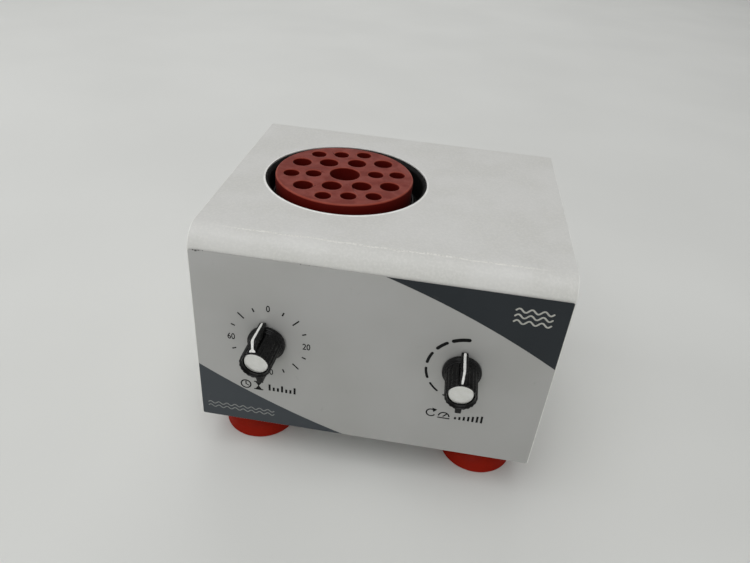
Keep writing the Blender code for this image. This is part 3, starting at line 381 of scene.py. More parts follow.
# Colours here are linear: srgb() makes one from a colour as it looks on a screen.
# Dark and light colour, sizes of the blotches and the grain, the grain's depth, roughness, specular
PLAIN = {
    # edge_highlight_paint is paler than the powder coat: a painted highlight on rounded edges.
    "edge_highlight_paint": (srgb(226, 226, 220), srgb(240, 240, 235), 6, 0.6, 0.01, (0.28, 0.4)),
    "black_print": ((0.002,) * 3, (0.005,) * 3, 5, 0.4, 0.004, (0.5, 0.62), 0.15),
    "pale_print": (srgb(168, 168, 160), srgb(182, 182, 174), 5, 0.4, 0.004, (0.4, 0.5)),
    "dim_print": (srgb(128, 130, 128), srgb(140, 142, 139), 5, 0.4, 0.004, (0.4, 0.5)),
    "white_paint": (srgb(214, 214, 208), srgb(240, 240, 236), 1.2, 0.5, 0.03, (0.35, 0.55)),
    "black_rubber": ((0.003,) * 3, (0.006, 0.006, 0.005), 7, 0.7, 0.02, (0.55, 0.75), 0.2),
    "black_plastic": ((0.003,) * 3, (0.006,) * 3, 6, 0.5, 0.006, (0.18, 0.32), 0.25),
    "laminate": ((0.02, 0.13, 0.045), (0.035, 0.19, 0.07), 5, 0.5, 0.02, (0.3, 0.45)),
    "blue_sleeve": ((0.015, 0.04, 0.19), (0.025, 0.06, 0.25), 6, 0.6, 0.01, (0.25, 0.4)),
    "white_plastic": (srgb(212, 210, 202), srgb(228, 226, 219), 8, 0.6, 0.01, (0.35, 0.5)),
}
METALS = {
    "zinc_sheet": ((0.46, 0.47, 0.48), (0.62, 0.63, 0.64), 9, 0.8, 0.01, (0.28, 0.44)),
    "screw_steel": ((0.42,) * 3, (0.62, 0.62, 0.61), 2, 0.3, 0.008, (0.22, 0.4)),
    "motor_can": ((0.24, 0.25, 0.27), (0.34, 0.35, 0.37), 8, 0.7, 0.012, (0.34, 0.5)),
    "cast_aluminium": ((0.52, 0.53, 0.54), (0.68, 0.69, 0.70), 6, 0.9, 0.05, (0.4, 0.56)),
    "timer_case": ((0.55, 0.56, 0.55), (0.66, 0.67, 0.66), 7, 0.6, 0.01, (0.3, 0.46)),
    "cast_iron": ((0.10, 0.10, 0.105), (0.20, 0.19, 0.18), 4, 1.1, 0.08, (0.5, 0.72)),
    "brass": ((0.56, 0.40, 0.17), (0.74, 0.56, 0.27), 3, 0.3, 0.006, (0.22, 0.4)),
    "pin_metal": (srgb(118, 118, 116), srgb(196, 192, 180), 3, 0.3, 0.006, (0.2, 0.35)),
}
TURNED_STEEL = ((0.62,) * 3, (0.74,) * 3, 3, 0.25, 0.004, (0.14, 0.28))
# Dark and light colour, specular
FILMS = {
    "label_film": (srgb(166, 166, 162), srgb(172, 172, 169)),
    "dark_print": (srgb(50, 56, 61), srgb(54, 60, 65), 0.4),
    # dark_print_shaded is the dark ink made darker still for the upper area: painted shade.
    "dark_print_shaded": (srgb(34, 39, 43), srgb(38, 43, 47), 0.25),
}
# Deep colour, the two tints of the upward faces (dust with a painted sheen), dustiness, sheen
SILICONES = {
    "red_silicone": (srgb(88, 14, 7), (srgb(117, 49, 40), srgb(136, 68, 59)), 0.4, 0.02),
    # The rims' paler silicone is a painted highlight on the rounded edges.
    "rim_highlight_silicone": (srgb(140, 52, 38), (srgb(138, 64, 50), srgb(150, 78, 64)), 0.3, 0.06),
    "red_rubber": (srgb(142, 22, 2), (srgb(132, 20, 2), srgb(152, 30, 4)), 0.1, 0.0),
}


def make_materials():
    """The finishes, by the names of the record's material slots and a few more of the looks' own."""
    steel = grained("bright_steel", *TURNED_STEEL, metallic=1.0, stretch=(1, 1, 8))
    made = {"powder_coat": powder_coat(), "bright_steel": steel}
    made |= {name: label_film(name, *finish) for name, finish in FILMS.items()}
    made |= {name: silicone(name, *finish) for name, finish in SILICONES.items()}
    made |= {name: grained(name, *finish) for name, finish in PLAIN.items()}
    made |= {name: grained(name, *finish, metallic=1.0) for name, finish in METALS.items()}
    return made


PAINT = make_materials()


# ---- mesh helpers


def mesh_of(bm, name):
    """A mesh from a bmesh, which is used up."""
    mesh = bpy.data.meshes.new(name)
    bm.to_mesh(mesh)
    bm.free()
    return mesh


def placed(name, data):
    """A new object in the scene."""
    obj = bpy.data.objects.new(name, data)
    bpy.context.scene.collection.objects.link(obj)
    return obj


def evaluated_mesh(obj):
    """A mesh of what an object's modifiers, or its text, come out as."""
    bpy.context.view_layer.update()
    graph = bpy.context.evaluated_depsgraph_get()
    return bpy.data.meshes.new_from_object(obj.evaluated_get(graph))


def piece(name, bm, material, body, rim=None, smooth=SMOOTH_ANGLE):
    """A piece of the object from a bmesh in the part's frame, riding on a CAD body.

    Its slot has the named finish, and a second slot the rim's finish when one is given.
    """
    bmesh.ops.recalc_face_normals(bm, faces=bm.faces)
    mesh = mesh_of(bm, name)
    mesh.shade_smooth()
    mesh.set_sharp_from_angle(angle=smooth)
    obj = placed(name, mesh)
    mesh.materials.append(PAINT[material])
    if rim:
        mesh.materials.append(PAINT[rim])
    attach(obj, body)
    return obj


def arc(centre, radius, start, end, steps):
    """Points on an arc from one angle to another, in degrees."""
    points = []
    for step in range(steps + 1):
        turn = math.radians(start + (end - start) * step / steps)
        points.append((centre[0] + radius * math.cos(turn), centre[1] + radius * math.sin(turn)))
    return points


def softened(points, radius, steps=4, closed=False):
    """A polyline with its corners rounded to a radius, or to less where its edges are short."""
    points = [Vector(point) for point in points]
    count = len(points)
    result = []
    for index, point in enumerate(points):
        if not closed and index in (0, count - 1):
            result.append(tuple(point))
            continue
        before = points[index - 1] - point
        after = points[(index + 1) % count] - point
        reach = min(radius, before.length * 0.45, after.length * 0.45)
        start = point + before.normalized() * reach
        end = point + after.normalized() * reach
        for step in range(steps + 1):
            share = step / steps
            bend = start.lerp(point, share).lerp(point.lerp(end, share), share)
            result.append(tuple(bend))
    return result


def join_rows(bm, rows, closed):
    """Joins rows of vertices into the wall of a tube, back to its first row if it's closed."""
    if closed:
        rows = rows + rows[:1]
    for lower, upper in zip(rows, rows[1:]):
        steps = len(lower)
        for step in range(steps):
            after = (step + 1) % steps
            corners = [lower[step], lower[after], upper[after], upper[step]]
            unique = list(dict.fromkeys(corners))
            if len(unique) > 2:
                bm.faces.new(unique)


def add_turned(bm, profile, steps=96, centre=(0, 0)):
    """Turns a (radius, height) profile about a vertical line.

    The profile closes on itself unless its ends are on the line.
    """
    rows = []
    for radius, height in profile:
        if radius < 1e-6:
            rows.append([bm.verts.new(metres(centre[0], centre[1], height))] * steps)
            continue
        row = []
        for step in range(steps):
            turn = math.tau * step / steps
            x = centre[0] + radius * math.cos(turn)
            y = centre[1] + radius * math.sin(turn)
            row.append(bm.verts.new(metres(x, y, height)))
        rows.append(row)
    join_rows(bm, rows, closed=profile[0][0] > 1e-6 and profile[-1][0] > 1e-6)
    return bm


def add_extruded(bm, corners, shift):
    """A flat outline of (x, y, z) corners, drawn along a shift into a solid."""
    face = bm.faces.new([bm.verts.new(metres(*corner)) for corner in corners])
    grown = bmesh.ops.extrude_face_region(bm, geom=[face])["geom"]
    far = [item for item in grown if isinstance(item, bmesh.types.BMVert)]
    bmesh.ops.translate(bm, verts=far, vec=metres(*shift))
    return bm


def soften(bm, edges, width, steps):
    """Rounds some edges of a bmesh."""
    bmesh.ops.bevel(
        bm, geom=list(edges), offset=width * MM, segments=steps, profile=0.5, affect="EDGES"
    )


def end_edges(bm):
    """The edges round a prism's two ends."""
    return {edge for face in bm.faces if len(face.verts) > 4 for edge in face.edges}


def add_block(bm, centre, size, bevel=0.0, steps=3, matrix=None):
    grown = Matrix.Translation(metres(*centre)) @ Matrix.Diagonal((*metres(*size), 1))
    made = bmesh.ops.create_cube(bm, size=1, matrix=(matrix or Matrix()) @ grown)
    if bevel:
        soften(bm, {edge for vert in made["verts"] for edge in vert.link_edges}, bevel, steps)
    return bm


def add_rod(bm, start, end, radius, steps=48):
    start, end = metres(*start), metres(*end)
    along = end - start
    turn = along.to_track_quat("Z", "Y").to_matrix().to_4x4()
    bmesh.ops.create_cone(
        bm,
        cap_ends=True,
        segments=steps,
        radius1=radius * MM,
        radius2=radius * MM,
        depth=along.length,
        matrix=Matrix.Translation((start + end) / 2) @ turn,
    )
    return bm


def moved(bm, matrix):
    bmesh.ops.transform(bm, matrix=matrix, verts=bm.verts)
    return bm


def cut(obj, bm):
    """Cuts a bmesh's solids from a piece, at once."""
    bmesh.ops.recalc_face_normals(bm, faces=bm.faces)
    mesh = mesh_of(bm, "cutter")
    for material in obj.data.materials:
        mesh.materials.append(material)
    tool = placed("cutter", mesh)
    change = obj.modifiers.new("cut", "BOOLEAN")
    change.operation = "DIFFERENCE"
    change.solver = "EXACT"
    change.object = tool
    made = evaluated_mesh(obj)
    obj.modifiers.clear()
    obj.data = made
    bpy.data.objects.remove(tool)


def round_edges(obj, width, steps=3):
    """Rounds a piece's sharp edges. The rounded strips take its second material, if it has one."""
    change = obj.modifiers.new("round", "BEVEL")
    change.width = width * MM
    change.segments = steps
    change.limit_method = "ANGLE"
    change.angle_limit = math.radians(35)
    change.harden_normals = True
    change.use_clamp_overlap = False
    if len(obj.data.materials) > 1:
        change.material = 1


# ---- housing


def side_outline(front, rear, bottom, top, radius):
    """The housing's outline seen from the side, as (y, z) points: a box with its two top bends."""
    front_bend = arc((front + radius, top - radius), radius, 180, 90, 24)
    rear_bend = arc((rear - radius, top - radius), radius, 90, 0, 24)
    return [(front, bottom), *front_bend, *rear_bend, (rear, bottom)]


def add_folded(bm, outline, low_x, high_x):
    """A (y, z) outline drawn across from one x to another."""
    return add_extruded(bm, [(low_x, y, z) for y, z in outline], (high_x - low_x, 0, 0))


def slot_outline(x, z, width, height, steps=8):
    """A slot with round ends, as (x, z) points."""
    radius = width / 2
    reach = height / 2 - radius
    return arc((x, z + reach), radius, 0, 180, steps) + arc((x, z - reach), radius, 180, 360, steps)


def add_control_holes(bm, face):
    """Cutters for the two controls' bushes, through a wall whose face is at a y."""
    for control in ("timer_nut", "speed_nut"):
        centre = middle(control)
        ends = [(centre.x, face + reach, centre.z) for reach in (-5, 5)]
        add_rod(bm, *ends, CONTROL_HOLE)


def case_cover():
    """The painted sheet housing: one sheet folded over the front and back, with its sides closed."""
    low, high = CASE_LOW, CASE_HIGH
    outline = side_outline(low.y, high.y, low.z, high.z, BEND_RADIUS)
    bm = add_folded(bmesh.new(), outline, low.x, high.x)
    # Its rounded edges take the paler edge paint, a painted highlight.
    cover = piece("case_cover", bm, "powder_coat", "base", rim="edge_highlight_paint")
    front, rear, top = low.y + SHEET, high.y - SHEET, high.z - SHEET
    inner = side_outline(front, rear, low.z - 5, top, BEND_RADIUS - SHEET)
    cut(cover, add_folded(bmesh.new(), inner, low.x + SHEET, high.x - SHEET))
    head = middle("dust_boot")
    opening = ((head.x, head.y, high.z - 10), (head.x, head.y, high.z + 5))
    cut(cover, add_rod(bmesh.new(), *opening, OPENING_RADIUS, 160))

    holes = bmesh.new()
    add_control_holes(holes, low.y)
    for number in range(1, 5):
        centre = middle(f"cover_screw_{number}")
        side = math.copysign(1, centre.x)
        ends = [(side * (high.x + reach), centre.y, centre.z) for reach in (-5, 5)]
        add_rod(holes, *ends, SCREW_HOLE, 24)
    for x in VENT_COLUMNS:
        for z in VENT_ROWS:
            corners = [(place, high.y - 5, height) for place, height in slot_outline(x, z, *VENT_SIZE)]
            add_extruded(holes, corners, (0, 10, 0))
    for node, width, height in (("power_inlet", 28.6, 36.6), ("switch_body", 13.4, 19.6)):
        centre = middle(node)
        add_block(holes, (centre.x, high.y, centre.z), (width, 10, height))
    cut(cover, holes)
    round_edges(cover, 0.55)
    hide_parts("housing_shell")


def opening_lip():
    """The slightly raised edge of the round opening, in a paler paint that is a painted highlight."""
    head = middle("dust_boot")
    top = CASE_HIGH.z
    inner = OPENING_RADIUS - 0.05
    profile = [(inner, top - 0.6), (inner, top + 0.18), (inner + 0.12, top + 0.3)]
    profile += [(inner + 0.4, top + 0.32), (inner + 1.0, top + 0.06)]
    profile += [(inner + 1.3, top - 0.02), (inner + 1.3, top - 0.6)]
    bm = add_turned(bmesh.new(), profile, 160, (head.x, head.y))
    piece("opening_lip", bm, "edge_highlight_paint", "base")


def film_outline():
    """The panel film's outline as (x, z) points."""
    low, high = LABEL_LOW, LABEL_HIGH
    left, right = low.x + FILM_MARGIN, high.x - FILM_MARGIN
    bottom, top = low.z + FILM_MARGIN, high.z - FILM_MARGIN
    corners = ((right, bottom, -90), (right, top, 0), (left, top, 90), (left, bottom, 180))
    points = []
    for x, z, start in corners:
        inward = FILM_CORNER if z == bottom else -FILM_CORNER
        points += arc((x - math.copysign(FILM_CORNER, x), z + inward), FILM_CORNER, start, start + 90, 6)
    return points


def on_panel(x, height):
    """A point of the panel, from its middle and its lower edge, as (x, z)."""
    return (LABEL_LOW.x + LABEL_HIGH.x) / 2 + x, LABEL_LOW.z + height


def panel_film():
    """The film glued over the whole front."""
    outline = [(x, y, 0) for x, y in film_outline()]
    bm = add_extruded(bmesh.new(), outline, (0, 0, LABEL_HIGH.y - LABEL_LOW.y))
    soften(bm, end_edges(bm), 0.08, 2)
    moved(bm, Matrix.Translation((0, LABEL_HIGH.y * MM, 0)) @ Matrix.Rotation(math.pi / 2, 4, "X"))
    film = piece("panel_film", bm, "label_film", "base")
    holes = bmesh.new()
    add_control_holes(holes, LABEL_FACE)
    cut(film, holes)
    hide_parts("front_label")


def print_shapes(name, shapes, material, lift=PRINT_LIFT):
    """Ink on the panel: thin solids with flat outlines, each a list of (x, z) points."""
    bm = bmesh.new()
    for shape in shapes:
        corners = [(x, LABEL_FACE - lift, z) for x, z in shape]
        add_extruded(bm, corners, (0, lift + PRINT_DEPTH, 0))
    piece(name, bm, material, "base").data.shade_flat()


def curve_points(curve, from_x, to_x, sign, steps=64):
    """Points of a circle between two places along the panel, on its upper or its lower half."""
    (centre_x, centre_height), radius = curve
    points = []
    for step in range(steps + 1):
        x = from_x + (to_x - from_x) * step / steps
        rise = math.sqrt(radius**2 - (x - centre_x) ** 2)
        points.append(on_panel(x, centre_height + sign * rise))
    return points


def dark_areas():
    """The two dark areas whose curved edges sweep across the panel's corners."""
    half = (LABEL_HIGH.x - LABEL_LOW.x) / 2 - PRINT_MARGIN
    low = PRINT_MARGIN
    high = LABEL_HIGH.z - LABEL_LOW.z - PRINT_MARGIN
    (centre_x, centre_height), radius = UPPER_CURVE
    start = centre_x + math.sqrt(radius**2 - (high - centre_height) ** 2)
    upper = curve_points(UPPER_CURVE, start, half, 1)
    corner = arc(on_panel(half - FILM_CORNER, high - FILM_CORNER), FILM_CORNER, 0, 90, 6)
    (centre_x, centre_height), radius = LOWER_CURVE
    end = centre_x - math.sqrt(radius**2 - (low - centre_height) ** 2)
    lower = curve_points(LOWER_CURVE, -half, end, -1)
    other = arc(on_panel(FILM_CORNER - half, low + FILM_CORNER), FILM_CORNER, 270, 180, 6)
    # The upper area's darker ink is painted shade.
    print_shapes("upper_area", [upper + corner], "dark_print_shaded")
    print_shapes("lower_area", [lower + other], "dark_print")


def stroke(points, width, round_ends=True):
    """A line of ink with a width, as an outline."""
    points = [Vector(point) for point in points]
    half = width / 2
    left, right = [], []
    for index, point in enumerate(points):
        before = points[max(index - 1, 0)]
        after = points[min(index + 1, len(points) - 1)]
        along = (after - before).normalized()
        across = Vector((-along.y, along.x)) * half
        left.append(tuple(point + across))
        right.append(tuple(point - across))
    if not round_ends:
        return left + right[::-1]
    first = math.degrees(math.atan2(*(points[0] - points[1]).yx))
    last = math.degrees(math.atan2(*(points[-1] - points[-2]).yx))
    tip = arc(points[-1], half, last + 90, last - 90, 8)[1:-1]
    tail = arc(points[0], half, first + 90, first - 90, 8)[1:-1]
    return left + tip + right[::-1] + tail


def around(centre, radius, bearing):
    """A point on a dial, by its bearing clockwise from the top in degrees."""
    turn = math.radians(90 - bearing)
    return centre[0] + radius * math.cos(turn), centre[1] + radius * math.sin(turn)


def printed_number(name, number, place):
    """A number of the dial, centred on a place of the panel."""
    curve = bpy.data.curves.new(name, "FONT")
    curve.body = number
    curve.size = 1
    curve.offset = NUMBER_WEIGHT
    curve.extrude = NUMBER_WEIGHT
    text = placed(name, curve)
    mesh = evaluated_mesh(text)
    bpy.data.objects.remove(text)
    low = Vector([min(vert.co[axis] for vert in mesh.vertices) for axis in range(3)])
    high = Vector([max(vert.co[axis] for vert in mesh.vertices) for axis in range(3)])
    thick = (PRINT_LIFT + PRINT_DEPTH) / (high.z - low.z)
    narrow, height = NUMBER_SIZE
    tall = height / (high.y - low.y)
    size = Matrix.Diagonal((tall * narrow * MM, tall * MM, thick * MM, 1))
    stand = Matrix.Translation(metres(place[0], LABEL_FACE + PRINT_DEPTH, place[1]))
    stand = stand @ Matrix.Rotation(math.pi / 2, 4, "X")
    centre = Vector(((low.x + high.x) / 2, (low.y + high.y) / 2, low.z))
    mesh.transform(stand @ size @ Matrix.Translation(-centre))
    bm = bmesh.new()
    bm.from_mesh(mesh)
    bpy.data.meshes.remove(mesh)
    bmesh.ops.remove_doubles(bm, verts=bm.verts, dist=1e-7)
    piece(name, bm, "black_print", "base").data.shade_flat()


def timer_dial():
    """Minute marks all round, with a number at each quarter."""
    centre = on_panel(*TIMER_DIAL)
    marks = []
    for step in range(16):
        if step % 4 == 0:
            continue
        half = 2.5 if step % 2 == 0 else 1.25
        ends = [around(centre, TIMER_CIRCLE + reach, step * 22.5) for reach in (-half, half)]
        marks.append(stroke(ends, 0.85, round_ends=False))
    print_shapes("timer_marks", marks, "black_print")
    for number, bearing in zip(DIAL_NUMBERS, (0, 90, 180, 270)):
        radius = 22.4 if bearing % 180 == 0 else 21.5
        printed_number(f"timer_number_{number}", number, around(centre, radius, bearing))


def speed_dial():
    """Six dashes round the left of the knob, each thinner than the one before."""
    centre = on_panel(*SPEED_DIAL)
    shapes = []
    for step, (span, width) in enumerate(SPEED_DASHES):
        start = SPEED_FIRST - SPEED_PITCH * step - span / 2
        points = [around(centre, SPEED_CIRCLE, start + span * part / 12) for part in range(13)]
        shapes.append(stroke(points, width))
    print_shapes("speed_marks", shapes, "black_print")


def ring(centre, radius, width, start=0, end=360, steps=20):
    """An arc of ink, as two outlines."""
    half = (start + end) / 2
    return [
        stroke(arc(centre, radius, *part, steps), width, round_ends=False)
        for part in ((start, half), (half, end))
    ]


def clock_sign(x, z):
    shapes = ring((x, z), 2.9, SIGN_LINE)
    shapes.append(stroke([(x, z + 2.0), (x, z), (x + 1.5, z - 0.8)], 0.75))
    return shapes


def hourglass_sign(x, z):
    shapes = []
    for side in (-1, 1):
        shapes.append(stroke([(x - 2.4, z + 2.9 * side), (x + 2.4, z + 2.9 * side)], SIGN_LINE))
        shapes.append([(x - 1.9, z + 2.6 * side), (x + 1.9, z + 2.6 * side), (x, z - 0.3 * side)])
    return shapes


def turning_sign(x, z):
    shapes = ring((x, z), 2.6, SIGN_LINE, 55, 330)
    shapes.append([(x + 0.4, z + 3.9), (x + 3.4, z + 2.8), (x + 1.3, z + 0.5)])
    return shapes


def gauge_sign(x, z):
    shapes = ring((x, z - 1.6), 3.0, SIGN_LINE, 0, 180, 12)
    shapes.append(stroke([(x - 0.3, z - 1.6), (x + 1.5, z + 0.5)], 0.8))
    shapes.append(stroke([(x - 3.2, z - 2.9), (x + 3.2, z - 2.9)], SIGN_LINE))
    return shapes


def bars_sign(x, z, heights):
    """A row of upright bars on one line."""
    foot = z - 2.6
    places = [x + 2.5 * step for step in range(len(heights))]
    return [
        stroke([(place, foot), (place, foot + height)], 1.25, round_ends=False)
        for place, height in zip(places, heights)
    ]


def captions():
    """Plain signs in place of the words: a clock for the timer, a turning arrow for the speed."""
    to_second, to_bars = CAPTION_STEPS
    x, z = on_panel(*TIMER_CAPTION)
    shapes = clock_sign(x, z) + hourglass_sign(x + to_second, z)
    shapes += bars_sign(x + to_bars, z, (4.8, 2.8, 2.8, 4.8, 2.8, 2.8, 4.8))
    print_shapes("timer_caption", shapes, "black_print")
    x, z = on_panel(*SPEED_CAPTION)
    shapes = turning_sign(x, z) + gauge_sign(x + to_second, z)
    shapes += bars_sign(x + to_bars, z, (1.8, 2.4, 3.0, 3.6, 4.2, 4.8, 5.4))
    print_shapes("speed_caption", shapes, "black_print")


def waves(left, right, low, rows, pitch, swing, crests, width):
    """Rows of wavy lines on the panel, from one place along it to another."""
    shapes = []
    steps = crests * 10
    for row in range(rows):
        points = []
        for step in range(steps + 1):
            share = step / steps
            rise = pitch * row + swing * math.sin(share * crests * math.tau)
            points.append(on_panel(left + (right - left) * share, low + rise))
        shapes.append(stroke(points, width))
    return shapes


def corner_signs():
    """Pale waves in the two dark areas, in place of lettering."""
    upper = waves(71.8, 90.8, 101.6, rows=3, pitch=3.6, swing=1.1, crests=3, width=0.95)
    print_shapes("upper_sign", upper, "pale_print", PRINT_LIFT * 2)
    lower = waves(-95.2, -54.6, 7.6, rows=2, pitch=2.7, swing=0.8, crests=8, width=0.6)
    print_shapes("lower_sign", lower, "dim_print", PRINT_LIFT * 2)


def edge_chips():
    """Small flakes of missing paint along the panel's upper edge, most at its left corner."""
    draw = random.Random(4)
    shapes = []
    for place, size in CHIPS:
        x, z = LABEL_LOW.x + place, LABEL_HIGH.z - size * 0.35
        points = []
        for step in range(9):
            turn = math.tau * step / 9
            reach = size * draw.uniform(0.35, 0.75)
            height = min(z + reach * 0.6 * math.sin(turn), LABEL_HIGH.z - 0.02)
            points.append((x + reach * math.cos(turn), height))
        shapes.append(points)
    print_shapes("edge_chips", shapes, "cast_iron", PRINT_LIFT * 2)


# ---- shaking head


def tube_hole_places():
    """Each tube hole's (x, y, radius), from the boxes that the record states."""
    found = []
    for opening in RECORD["physics"]["openings"]:
        if opening["name"].startswith("tube_hole"):
            low, high = (Vector(corner) / MM for corner in opening["box_m"])
            centre = (low + high) / 2
            found.append((centre.x, centre.y, (high.x - low.x) / 2 / OPENING_SHARE))
    return found


def tube_rack():
    """The soft disc with its tube holes. Its top edges are paler, a painted highlight, and its top edge has a
    nick.
    """
    low, high, centre, radius = round_box("rack_disc")
    edge = radius - EDGE_SOFTENING
    top_edge = arc((edge, high.z - EDGE_SOFTENING), EDGE_SOFTENING, 0, 90, 6)
    low_edge = arc((edge, low.z + EDGE_SOFTENING), EDGE_SOFTENING, 270, 360, 6)
    profile = [(0, low.z), *low_edge, *top_edge, (0, high.z)]
    bm = add_turned(bmesh.new(), profile, 192, (centre.x, centre.y))
    for face in bm.faces:
        place = face.calc_center_median() / MM
        away = math.hypot(place.x - centre.x, place.y - centre.y)
        # The outer top rounding takes the paler rim silicone, a painted highlight.
        rim_highlight = place.z > high.z - EDGE_SOFTENING * 0.8 and away > edge
        face.material_index = 1 if rim_highlight else 0
    draw = random.Random(11)
    swell_edge(bm, centre, radius, draw)
    rack = piece("tube_rack", bm, "red_silicone", "rack", rim="rim_highlight_silicone")
    holes = bmesh.new()
    notches = bmesh.new()
    bearing, size = EDGE_NICK
    add_notch(notches, centre, radius, high.z, math.radians(bearing), size)
    for number, (x, y, hole) in enumerate(tube_hole_places()):
        add_hole(holes, (x, y), hole, low.z - 2, high.z)
        if number in TORN_HOLES:
            size = (draw.uniform(0.7, 1.1), draw.uniform(0.8, 1.5), 0.7)
            add_notch(notches, Vector((x, y)), hole + 0.1, high.z, draw.uniform(0, math.tau), size)
    cut(rack, holes)
    cut(rack, notches)
    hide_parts("rack_disc")


def swell_edge(bm, centre, radius, draw):
    """Makes the disc's edge a little uneven, with slow waves round it."""
    waves_round = [
        (draw.uniform(0, math.tau), draw.uniform(0.04, 0.13), count) for count in (2, 3, 5, 7)
    ]
    for vert in bm.verts:
        away = Vector((vert.co.x, vert.co.y)) / MM - centre.xy
        if away.length < radius - 2:
            continue
        turn = math.atan2(away.y, away.x)
        swell = sum(
            size * (math.sin(count * turn + start) - 1) / 2 for start, size, count in waves_round
        )
        vert.co.xy = (centre.xy + away * (1 + swell / radius)) * MM


def add_hole(bm, centre, radius, low, top):
    """A tube hole as a cutter. It flares at the top, so the hole's rim comes out rounded, and pale with a painted
    highlight.
    """
    flare = []
    for step in range(6):
        turn = math.radians(90 * step / 5)
        out = RIM_SOFTENING * (1 - math.cos(turn))
        flare.append((radius + out, top - RIM_SOFTENING * (1 - math.sin(turn))))
    mouth = (radius + RIM_SOFTENING, top + 2)
    before = len(bm.faces)
    add_turned(bm, [(0, low), (radius, low), *flare, mouth, (0, top + 2)], 64, centre)
    bm.faces.ensure_lookup_table()
    for face in bm.faces[before:]:
        height = face.calc_center_median().z / MM
        face.material_index = 1 if top - RIM_SOFTENING < height < top else 0


def add_notch(bm, centre, radius, top, bearing, size):
    """A small bite out of an edge of the rack's top, as a cutter."""
    x = centre.x + radius * math.cos(bearing)
    y = centre.y + radius * math.sin(bearing)
    turn = Matrix.Rotation(bearing, 4, "Z") @ Matrix.Rotation(0.9, 4, "Y")
    add_block(bm, (0, 0, 0), size, matrix=Matrix.Translation(metres(x, y, top)) @ turn)


def boot():
    """The black rubber boot between the housing and the moving tray, with a fold in its floor."""
    low, high, centre, edge = round_box("dust_boot")
    collar = OPENING_RADIUS - GAP
    inside = collar - 2
    outside = inside + BOOT_WALL
    flange = CASE_HIGH.z - SHEET - GAP
    floor = low.z
    under_tray = box("rack_disc")[0].z - 3.8
    profile = [(collar, high.z), (collar - 0.7, high.z), (inside, high.z - 2), (inside, floor + 4.0)]
    profile += [(inside - 0.6, floor + 2.0), (inside - 1.6, floor + 1.3)]
    profile += [(inside - 2.6, floor + 2.1), (inside - 3.6, floor + 1.3)]
    profile += [(BOOT_SKIRT + 1.4, floor + 1.6), (BOOT_SKIRT + BOOT_WALL, under_tray)]
    profile += [(BOOT_SKIRT, under_tray), (BOOT_SKIRT, floor), (outside, floor)]
    profile += [(outside, flange - BOOT_WALL), (edge, flange - BOOT_WALL)]
    profile += [(edge, flange), (collar, flange)]
    bm = add_turned(bmesh.new(), softened(profile, 0.4, 3, closed=True), 160, (centre.x, centre.y))
    skin = piece("boot_skin", bm, "black_rubber", "base")
    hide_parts("dust_boot")


def tray():
    """The moulded dish under the rack."""
    low, high, centre, outer = round_box("platform_tray")
    face = box("rack_disc")[0].z - GAP
    seat = outer - 1.4
    profile = [(5.3, face), (seat, face), (seat, high.z), (outer, high.z), (outer, face - 3)]
    profile += [(12, face - 3), (12, low.z), (4.3, low.z), (4.3, face - 3.7)]
    profile += [(2.8, face - 3.7), (2.8, face - 2.5)]
    bm = add_turned(bmesh.new(), softened(profile, 0.35, 3, closed=True), 128, (centre.x, centre.y))
    dish = piece("tray_dish", bm, "black_plastic", "platform")
    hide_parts("platform_tray")


# ---- knobs


def add_grip(bm):
    """The fluted grip: rings whose radius dips at each flute, hollow for the cap and the shaft."""
    steps = FLUTES * 10
    face = KNOB_HEIGHT - FACE_DROP
    seat = CAP_RADIUS + 0.3
    floor_height = KNOB_HEIGHT - CAP_RECESS - CAP_THICKNESS - GAP
    bore, hollow, hollow_top = 3.3, 7.7, 4.2
    rows = (
        (2.0, GRIP_RADIUS + 0.25, 0.0),
        (4.4, GRIP_RADIUS + 0.25, 0.0),
        (4.9, GRIP_RADIUS + 0.2, 0.6),
        (6.0, GRIP_RADIUS + 0.15, 1.0),
        (face - 0.8, GRIP_RADIUS, 1.0),
        (face - 0.25, GRIP_RADIUS - 0.1, 1.0),
        (face, GRIP_RADIUS - 0.32, 0.6),
        (face, seat + 0.65, 0.0),
        (face - 0.2, seat + 0.5, 0.0),
        (floor_height + 1.2, seat, 0.0),
        (floor_height, seat, 0.0),
        (floor_height, bore, 0.0),
        (hollow_top, bore, 0.0),
        (hollow_top, hollow, 0.0),
        (2.0, hollow, 0.0),
    )
    rings = []
    for height, radius, share in rows:
        ring_verts = []
        for step in range(steps):
            turn = math.tau * step / steps
            wave = 0.5 - 0.5 * math.cos(FLUTES * turn)
            reach = radius - FLUTE_DEPTH * share * wave**1.6
            x, y = reach * math.cos(turn), reach * math.sin(turn)
            ring_verts.append(bm.verts.new(metres(x, y, height)))
        rings.append(ring_verts)
    join_rows(bm, rings, closed=True)


def slope_height(reach):
    """The height of the pointer's slope at a distance from the knob's axis."""
    share = (reach - GRIP_RADIUS) / (FIN_REACH - GRIP_RADIUS)
    return KNOB_HEIGHT - POINTER_DROP[0] - share * (POINTER_DROP[1] - POINTER_DROP[0])


def pointer_outline():
    """The pointer's (y, height) outline with rounded corners. Its top slopes down from the grip."""
    outline = [
        (FIN_ROOT, SKIRT_LIFT),
        (FIN_REACH, SKIRT_LIFT),
        (FIN_REACH, slope_height(FIN_REACH)),
        (FIN_ROOT, slope_height(FIN_ROOT)),
    ]
    return softened(outline, 1.0, FIN_STEPS, closed=True)


def tail_outline():
    """The outline of the bar's other end, which is level."""
    outline = [
        (-FIN_REACH, SKIRT_LIFT),
        (-FIN_ROOT, SKIRT_LIFT),
        (-FIN_ROOT, KNOB_HEIGHT - TAIL_DROP),
        (-FIN_REACH, KNOB_HEIGHT - TAIL_DROP),
    ]
    return softened(outline, 0.8, FIN_STEPS, closed=True)


